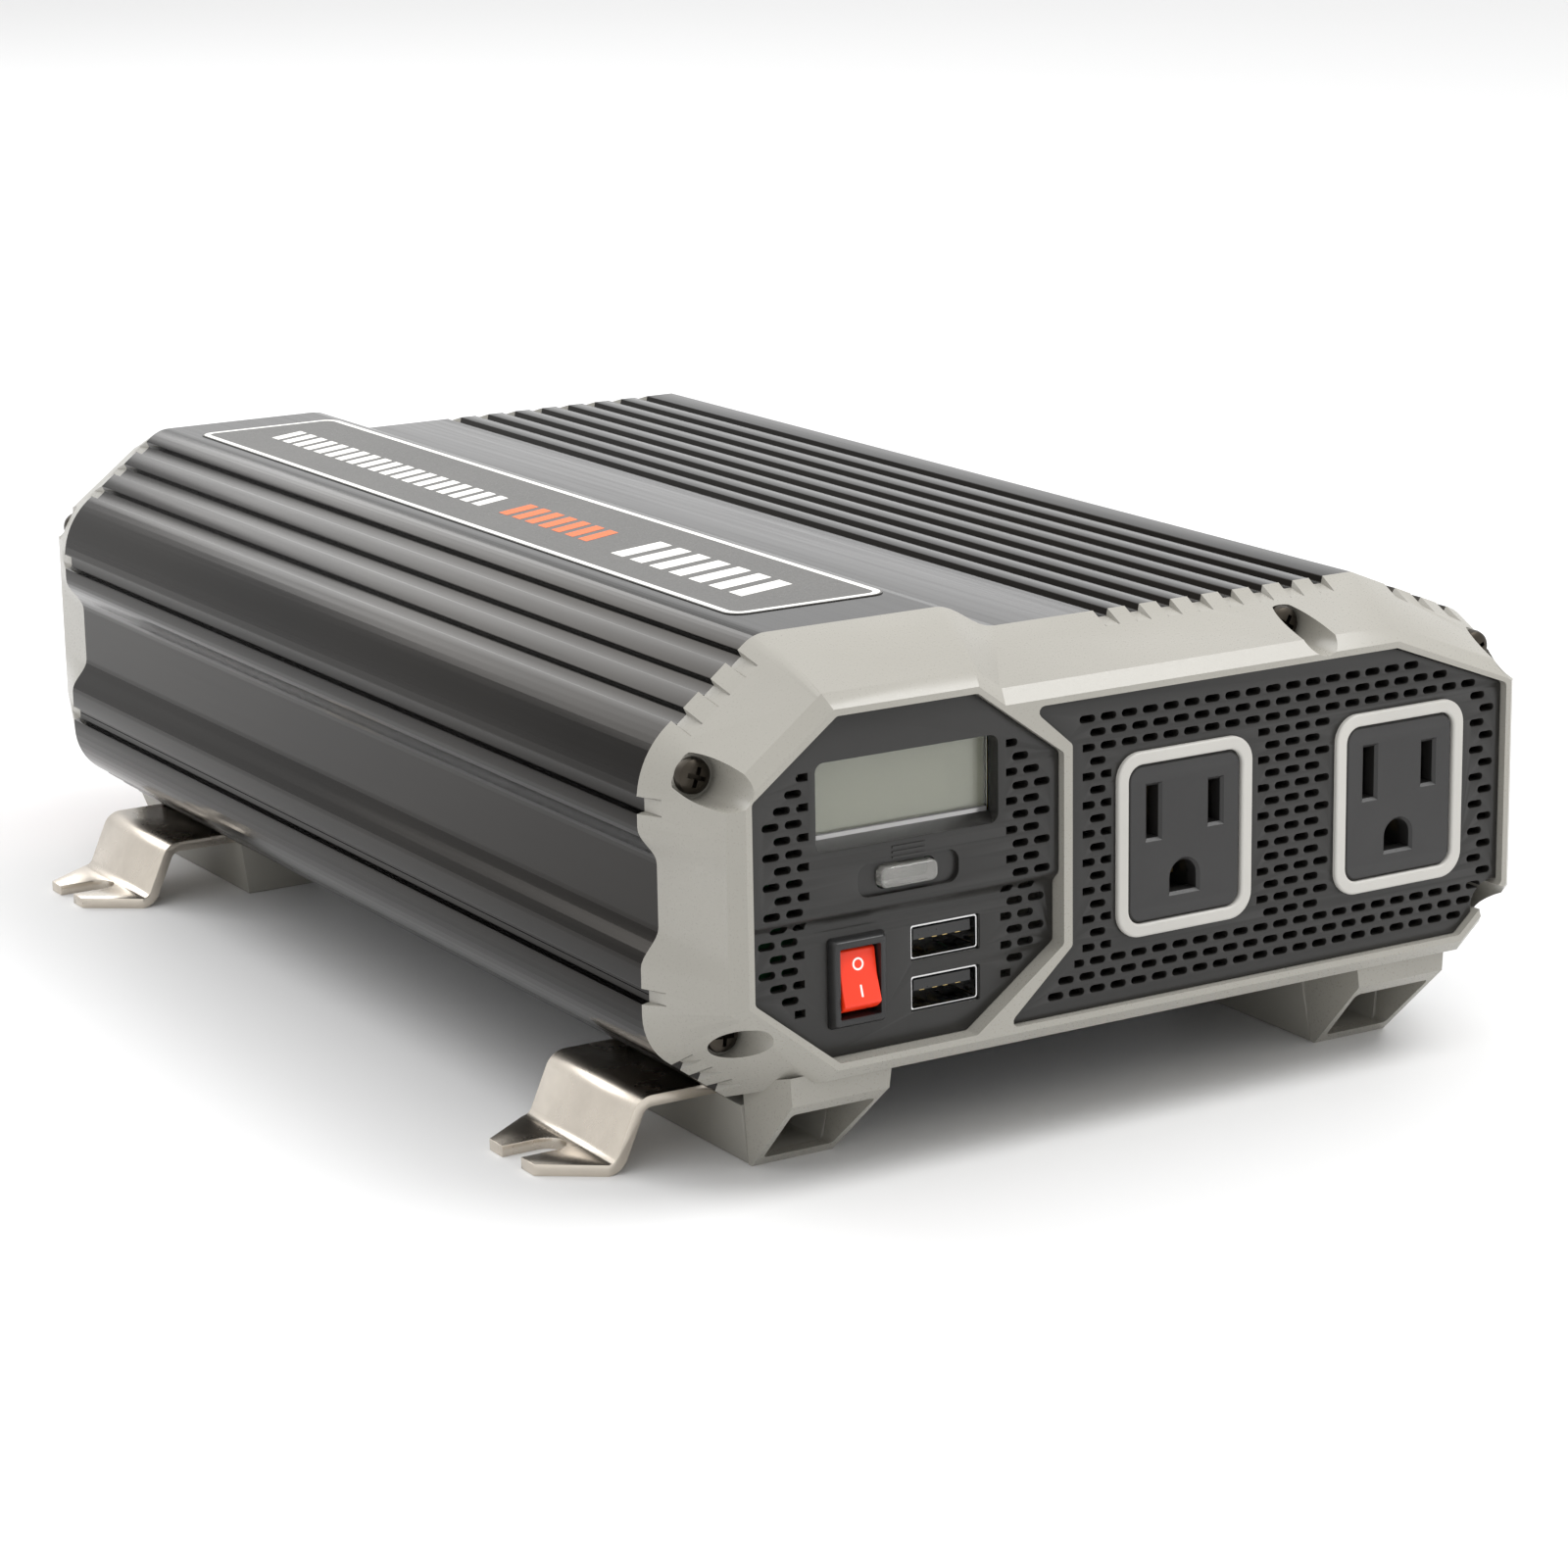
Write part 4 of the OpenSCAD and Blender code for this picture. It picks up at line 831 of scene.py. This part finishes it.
def moved(mesh, where, turn):
    """A copy of a mesh, turned and then moved."""
    mesh = mesh.copy()
    mesh.transform(turn)
    mesh.transform(Matrix.Translation(where))
    return mesh


def cap_screws():
    screw = pan_screw()
    tilt = (20, 65, 5, 50, 30)
    front = joined([moved(screw, at(x, SEAT, z), Matrix.Rotation(math.radians(a), 4, "Y"))
                    for (x, z, r), a in zip(SCREWS, tilt)])
    # Painted shade: the plated screws take a near-black colour for the shade deep in the caps' screw
    # channels.
    piece("cap_screws_front", front, PAINTED_SHADE_SCREW, "plated_screws", stands_for=["front_cap_screws"])
    piece("cap_screws_rear", rear(front), PAINTED_SHADE_SCREW, "plated_screws", stands_for=["rear_cap_screws"])


FOOT_HOLES = (14, 31)
FOOT_X = 57.65
HOLE_R = 2.2


def feet():
    low = -HALF_H - FOOT_H
    blocks, screws = [], []
    screw = pan_screw(7, 3.4, 1.9)
    for m in (-1, 1):
        high = -HALF_H - (2 if m < 0 else 0)
        outer = flat([(m * 67.3, high), (m * 66, low), (m * 50.4, low), (m * 48, high)])
        duct = flat([(m * 65.2, high - 2.2), (m * 64.4, low + 1.8), (m * 52, low + 1.8),
                     (m * 50.3, high - 2.2)])
        block = slab(outer, CAP_L + 0.08, CAP_L + 40)
        cuts = [slab(rounded(duct, 0.6), CAP_L - 1, CAP_L + 38)]
        for y in FOOT_HOLES:
            where = Vector((m * FOOT_X, -CORE + y, 0))
            cuts.append(turned([(4, -1), (4, 3)], where, "Z"))
            cuts.append(turned([(HOLE_R, 0), (HOLE_R, 20)], where, "Z"))
            screws.append(moved(screw, Vector((m * FOOT_X, -CORE + y, MID + high - 2.2)),
                                Matrix.Rotation(math.pi / 2, 4, "X")))
        blocks.append(softened(combine(block, cuts), 0.3, 2, 28))
    blocks = joined(blocks)
    screws = joined(screws)
    # The blocks take the darker foot plastic: painted shade for the shadow under the case.
    piece("foot_block_set", joined([blocks, rear(blocks)]), FOOT, "foot_plastic", smooth=25,
          stands_for=["foot_blocks"])
    piece("foot_screw_set", joined([screws, rear(screws)]), SCREW, "plated_screws",
          stands_for=["foot_screws"])


def brackets():
    """Z-shaped strips with an open slot in the foot and slanted corners at the tip."""
    top, y0, width, slot, tip = -HALF_H - 1, -CORE + 22.6, 30, 6.6, -98
    knee, heel = (-79.5, top - 3), (-88.07, -HALF_H - FOOT_H + 4)
    arc = ([polar(knee, 4, a) for a in range(90, 157, 6)]
           + [polar(heel, 2, a) for a in range(-24, -91, -6)])
    back = ([polar(heel, 4, a) for a in range(-90, -23, 6)]
            + [polar(knee, 2, a) for a in range(156, 89, -6)])
    side = (flat([(-50.5, top - 1), (-50.5, top + 1)]) + arc
            + flat([(tip, heel[1] - 2), (tip, heel[1] - 4)]) + back)
    strip = prism(side, y0 - width / 2, y0 + width / 2, lambda p, y: Vector((p[0], y, MID + p[1])))

    def upright(loop, z0=-1, z1=8):
        return prism(loop, z0, z1, lambda p, z: Vector((p[0], p[1], z)))
    cuts = [upright([Vector((-91.4, y0)) + slot / 2 * polar((0, 0), 1, a) for a in range(-90, 91, 10)]
                    + flat([(-110, y0 + slot / 2), (-110, y0 - slot / 2)]))]
    for s in (-1, 1):
        cuts.append(upright(flat([(-88, y0 + s * width / 2), (tip, y0 + s * 7.8), (-110, y0 + s * 7.8),
                                  (-110, y0 + s * 30), (-88, y0 + s * 30)])))
    for y in FOOT_HOLES:
        cuts.append(turned([(HOLE_R, FOOT_H - 6), (HOLE_R, FOOT_H + 4)],
                           Vector((-FOOT_X, -CORE + y, 0)), "Z"))
    strip = softened(combine(strip, cuts), 0.25, 2, 40)
    piece("steel_brackets", joined([strip, rear(strip)]), PLATED, "plated_steel", smooth=35,
          stands_for=["mounting_brackets"])


# ---------------------------------------------------------------- label
def on_top(loops, height, thick, edge=0.02):
    """Thin flat piece on the raised strip of the lid."""
    mesh = plate(loops, 0, thick, edge, 1)
    mesh.transform(Matrix.Translation((0, 0, MID + HALF_H + height + thick))
                   @ Matrix.Rotation(-math.pi / 2, 4, "X") @ Matrix.Translation(-at(0, 0, 0)))
    return mesh


LABEL_T, INK_T = 0.16, 0.03


def label():
    x0, x1, y0, y1 = -59.4, -28.9, -104.8, 107.4
    mid = ((x0 + x1) / 2, (y0 + y1) / 2)
    size = (x1 - x0, y1 - y0)
    piece("label_film", on_top([box_loop(mid, size, 3)], 0, LABEL_T), FILM, "label_film",
          stands_for=["top_label"])
    line = on_top([box_loop(mid, (size[0] - 0.6, size[1] - 0.6), 3),
                   box_loop(mid, (size[0] - 3, size[1] - 3), 2)], LABEL_T, INK_T, 0.01)
    piece("label_outline", line, WHITE_INK, "label_film")
    # Plain slanted bars stand in for the printing
    for name, ink, start, end, count, low, high in (
            ("front", WHITE_INK, -93, -46, 7, -50.5, -38.5),
            ("middle", ORANGE_INK, -37, -2, 7, -49, -40.5), ("back", WHITE_INK, 4, 96, 19, -49, -41)):
        step = (end - start) / count
        thick, slant = step * 0.62, 3.5
        bars = [flat([(low, y), (low, y + thick), (high, y + thick + slant), (high, y + slant)])
                for y in (start + step * k for k in range(count))]
        piece(f"label_bars_{name}", on_top(bars, LABEL_T, INK_T, 0.01), ink, "label_film")


# ---------------------------------------------------------------- rear end
FAN_X = (7, 49.5)
FAN_Z = -4
POST_X = (-59.1, -33.1)
POST_Z = 2
POST_R = 4.05
EARTH = (PANEL_X, -19)
GUARD_BACK = 6.4
STUD_END = 298.6
THREAD = 1.25
DRIVER = (9, 0.9)


def sector(c, r0, r1, a0, a1, n=14):
    """Curved slot between two radii and two angles."""
    out = [Vector(c) + r1 * polar((0, 0), 1, lerp(a0, a1, k / n)) for k in range(n + 1)]
    return out + [Vector(c) + r0 * polar((0, 0), 1, lerp(a1, a0, k / n)) for k in range(n + 1)]


def rear_end():
    loops = [panel_loop(WINDOW)]
    for x in FAN_X:
        for r in (4.5, 9, 13.5, 18):
            gap = math.degrees(0.9 / r)
            for q in range(4):
                loops.append(sector((x, FAN_Z), r - 1.5, r + 1.5,
                                    q * 90 + gap - 45, q * 90 + 90 - gap - 45))
    for j in range(14):
        loops += vent(72.2 + (j % 2) * PITCH / 2 - 1.2, 11.8 - RISE * j, 69.6, 74.9)
    guard = combine(plate(loops, PANEL_D, GUARD_BACK, 0.2), channel_tools())
    piece("fan_guard_panel", rear(guard), PANEL, "panel_plastic", smooth=25,
          stands_for=["rear_vent_panel"])
    holes = [circle((x, POST_Z), 6, 40) for x in POST_X] + [circle(EARTH, 2.1, 24)]
    # Slots beside a post would run into its hole. Some of those left out reach 0.6 mm past its flange
    open_vents = [loop for loop in side_vents()
                  if all((p - Vector((x, POST_Z))).length > 9 for p in loop for x in POST_X)]
    face = combine(plate([panel_loop(OCTAGON)] + holes + open_vents, PANEL_D, GUARD_BACK, 0.2),
                   channel_tools())
    piece("post_panel", rear(face), PANEL, "panel_plastic", smooth=25, stands_for=["terminal_panel"])
    end = -FRONT - PANEL_D
    studs = []
    for sign, x, plastic, slot in (("positive", POST_X[0], RED, "red_plastic"),
                                   ("negative", POST_X[1], BLACK, "black_plastic")):
        where = Vector((x, 0, MID + POST_Z))
        base = turned([(POST_R, end - 8), (5.9, end - 8), (5.9, end), (11, end), (11, end + 3.6),
                       (10.4, end + 4.6), (9.4, end + 5), (POST_R, end + 5)], where, n=64)
        piece(f"post_base_{sign}", base, plastic, slot, stands_for=[f"{sign}_base"])
        washer = turned([(POST_R, end + 5.3), (8.3, end + 5.3), (8.5, end + 5.5), (8.5, end + 6.6),
                         (8.3, end + 6.8), (POST_R, end + 6.8)], where)
        piece(f"post_washer_{sign}", washer, BRASS, "brass_parts", f"washer_{sign}",
              stands_for=[f"{sign}_washer"])
        piece(f"post_knob_{sign}", knob(where, end + 7.1), plastic, slot, f"knob_{sign}", smooth=35,
              stands_for=[f"{sign}_knob"])
        studs.append(stud(where))
    piece("threaded_studs", joined(studs), BRASS, "brass_parts", stands_for=["battery_studs"])
    head = turned([(0, 2.6), (2.6, 2.5), (3.6, 2.0), (4, 1.2), (4, 0), (2, 0), (2, -14), (1.6, -14.6)],
                  Vector((EARTH[0], end, MID + EARTH[1])), n=40)
    cut = prism(box_loop((EARTH[0], MID + EARTH[1]), DRIVER), end + 1.6, end + 4, along_y)
    piece("earth_screw", combine(head, [cut]), BRASS, "brass_parts", stands_for=["ground_screw"])


def along_y(p, y):
    return Vector((p[0], y, p[1]))


def knob(where, y):
    """Fluted knob: twelve scoops round a softly domed cylinder."""
    n = 144
    rings = []
    for r, h, depth in ((POST_R, 0, 0), (8.4, 0, 0), (9.1, 0.6, 0), (9.2, 1.8, 0), (9.2, 2.6, 1),
                        (9.2, 12.2, 1), (8.9, 13.2, 1), (8.0, 13.9, 0.7), (6.6, 14, 0.1),
                        (4.4, 13.8, 0), (POST_R, 13.6, 0)):
        ring = []
        for k in range(n):
            a = math.tau * k / n
            scoop = max(0, math.cos(12 * a)) ** 1.5 * 0.9 * depth
            ring.append(where + Vector(((r - scoop) * math.cos(a), y + h, (r - scoop) * math.sin(a))))
        rings.append(ring)
    rings.append(rings[0])
    return loft(rings, ends=False)


def stud(where):
    """Threaded stud with a hexagonal nut behind the panel and a screwdriver slot in its end."""
    tip = FRONT + STUD_END
    points = [(0, FRONT + 260), (3.7, FRONT + 260)]
    y = 128
    while y < tip - 1.2:
        points += [(3.72, y), (3.98, y + 0.5), (3.98, y + 0.75)]
        y += THREAD
    points += [(3.7, y), (3.7, tip - 0.6), (3.1, tip), (0, tip)]
    slot = prism(box_loop((where.x, where.z), DRIVER), tip - 1.2, tip + 1, along_y)
    nut = turned([(4.1, 124), (7.2, 124), (7.5, 124.4), (7.5, 127.6), (7.2, 128), (4.1, 128)],
                 where, n=6)
    return joined([combine(turned(points, where, n=32), [slot]), nut])


def fans():
    """Rotors with a domed hub and seven curved, twisted blades."""
    back = -FRONT - 6.5
    for side, x in (("left", FAN_X[0]), ("right", FAN_X[1])):
        where = Vector((x, 0, MID + FAN_Z))
        hub = turned([(0, back - 3.2), (6.9, back - 3.2), (7.8, back - 3.6), (8, back - 4.4),
                      (8, back - 18.2), (0, back - 18.2)][::-1], where)
        shaft = turned([(1, back - 4.5), (1, back - 0.5)], where, n=24)
        blades = []
        for b in range(7):
            rings = []
            for k in range(9):
                r = lerp(7.6, 18, k / 8)
                pitch = math.radians(lerp(48, 30, k / 8))
                mid_angle = math.tau * b / 7 + 0.35 * (k / 8) ** 1.5
                half = lerp(6.5, 7.2, k / 8)
                ring = []
                for along, off in ((-1, 0), (-0.5, 0.5), (0, 0.65), (0.5, 0.5), (1, 0), (0.5, -0.1),
                                   (0, 0), (-0.5, -0.1)):
                    across = along * half * math.cos(pitch) / r
                    depth = along * half * math.sin(pitch) + off
                    a = mid_angle + across
                    ring.append(where + Vector((r * math.cos(a), back - 10.8 + depth, r * math.sin(a))))
                rings.append(ring)
            blades.append(loft(rings))
        piece(f"rotor_{side}_blades", joined([hub, shaft] + blades), BLACK, "black_plastic",
              f"rotor_{side}", smooth=40, stands_for=[f"fan_rotor_{side}"])


# ---------------------------------------------------------------- scene
place_camera()
shells()
caps()
control_panel()
rocker_switch()
usb_ports()
outlets()
cap_screws()
feet()
brackets()
label()
rear_end()
fans()
for names, material in (
        (("outlet_bodies",), FACE), (("board_screws", "clamp_screws", "fan_screws"), SCREW),
        (("outlet_contacts", "usb_contacts", "rocker_terminals", "board_standoffs"), BRASS),
        (("bus_bars", "choke_winding"), COPPER), (("lcd_window",), GLASS), (("lcd_module",), DISPLAY),
        (("usb_tongues", "menu_switch", "fan_frames"), BLACK), (("main_board", "control_board"), BOARD),
        (("transformer_cores", "choke_core"), FERRITE), (("transformer_windings",), TAPE),
        (("bus_capacitors", "input_capacitors"), SLEEVE), (("power_transistors",), EPOXY),
        (("transistor_clamps",), BAR), (("blade_fuses",), FUSE), (("insulator_sheet",), AMBER)):
    for name in names:
        finish_node(name, material)

floor = bpy.data.objects.new("floor", bpy.data.meshes.new("floor"))
floor.data.from_pydata([(-6, -6, 0), (6, -6, 0), (6, 6, 0), (-6, 6, 0)], [], [(0, 1, 2, 3)])
bpy.context.scene.collection.objects.link(floor)
floor_shader = Shader("floor", (0.8, 0.8, 0.8), 0.6)
floor.data.materials.append(floor_shader.material)

world = bpy.data.worlds.new("world")
bpy.context.scene.world = world
world.use_nodes = True
world.node_tree.nodes["Background"].inputs["Color"].default_value = (1, 1, 1, 1)
world.node_tree.nodes["Background"].inputs["Strength"].default_value = 1.0
place_light("overhead", (0, 0.1, 1.5), (0, 0, 0), (1.6, 1.6), 6)
place_light("key", (0.6, -0.48, 1.1), (0, -0.1, 0.08), (0.7, 0.5), 8)
place_light("back_soft", (-0.3, 1.6, 1.15), (0, 0, 0.05), (1.6, 0.7), 11)

bpy.context.scene.view_settings.view_transform = "Standard"
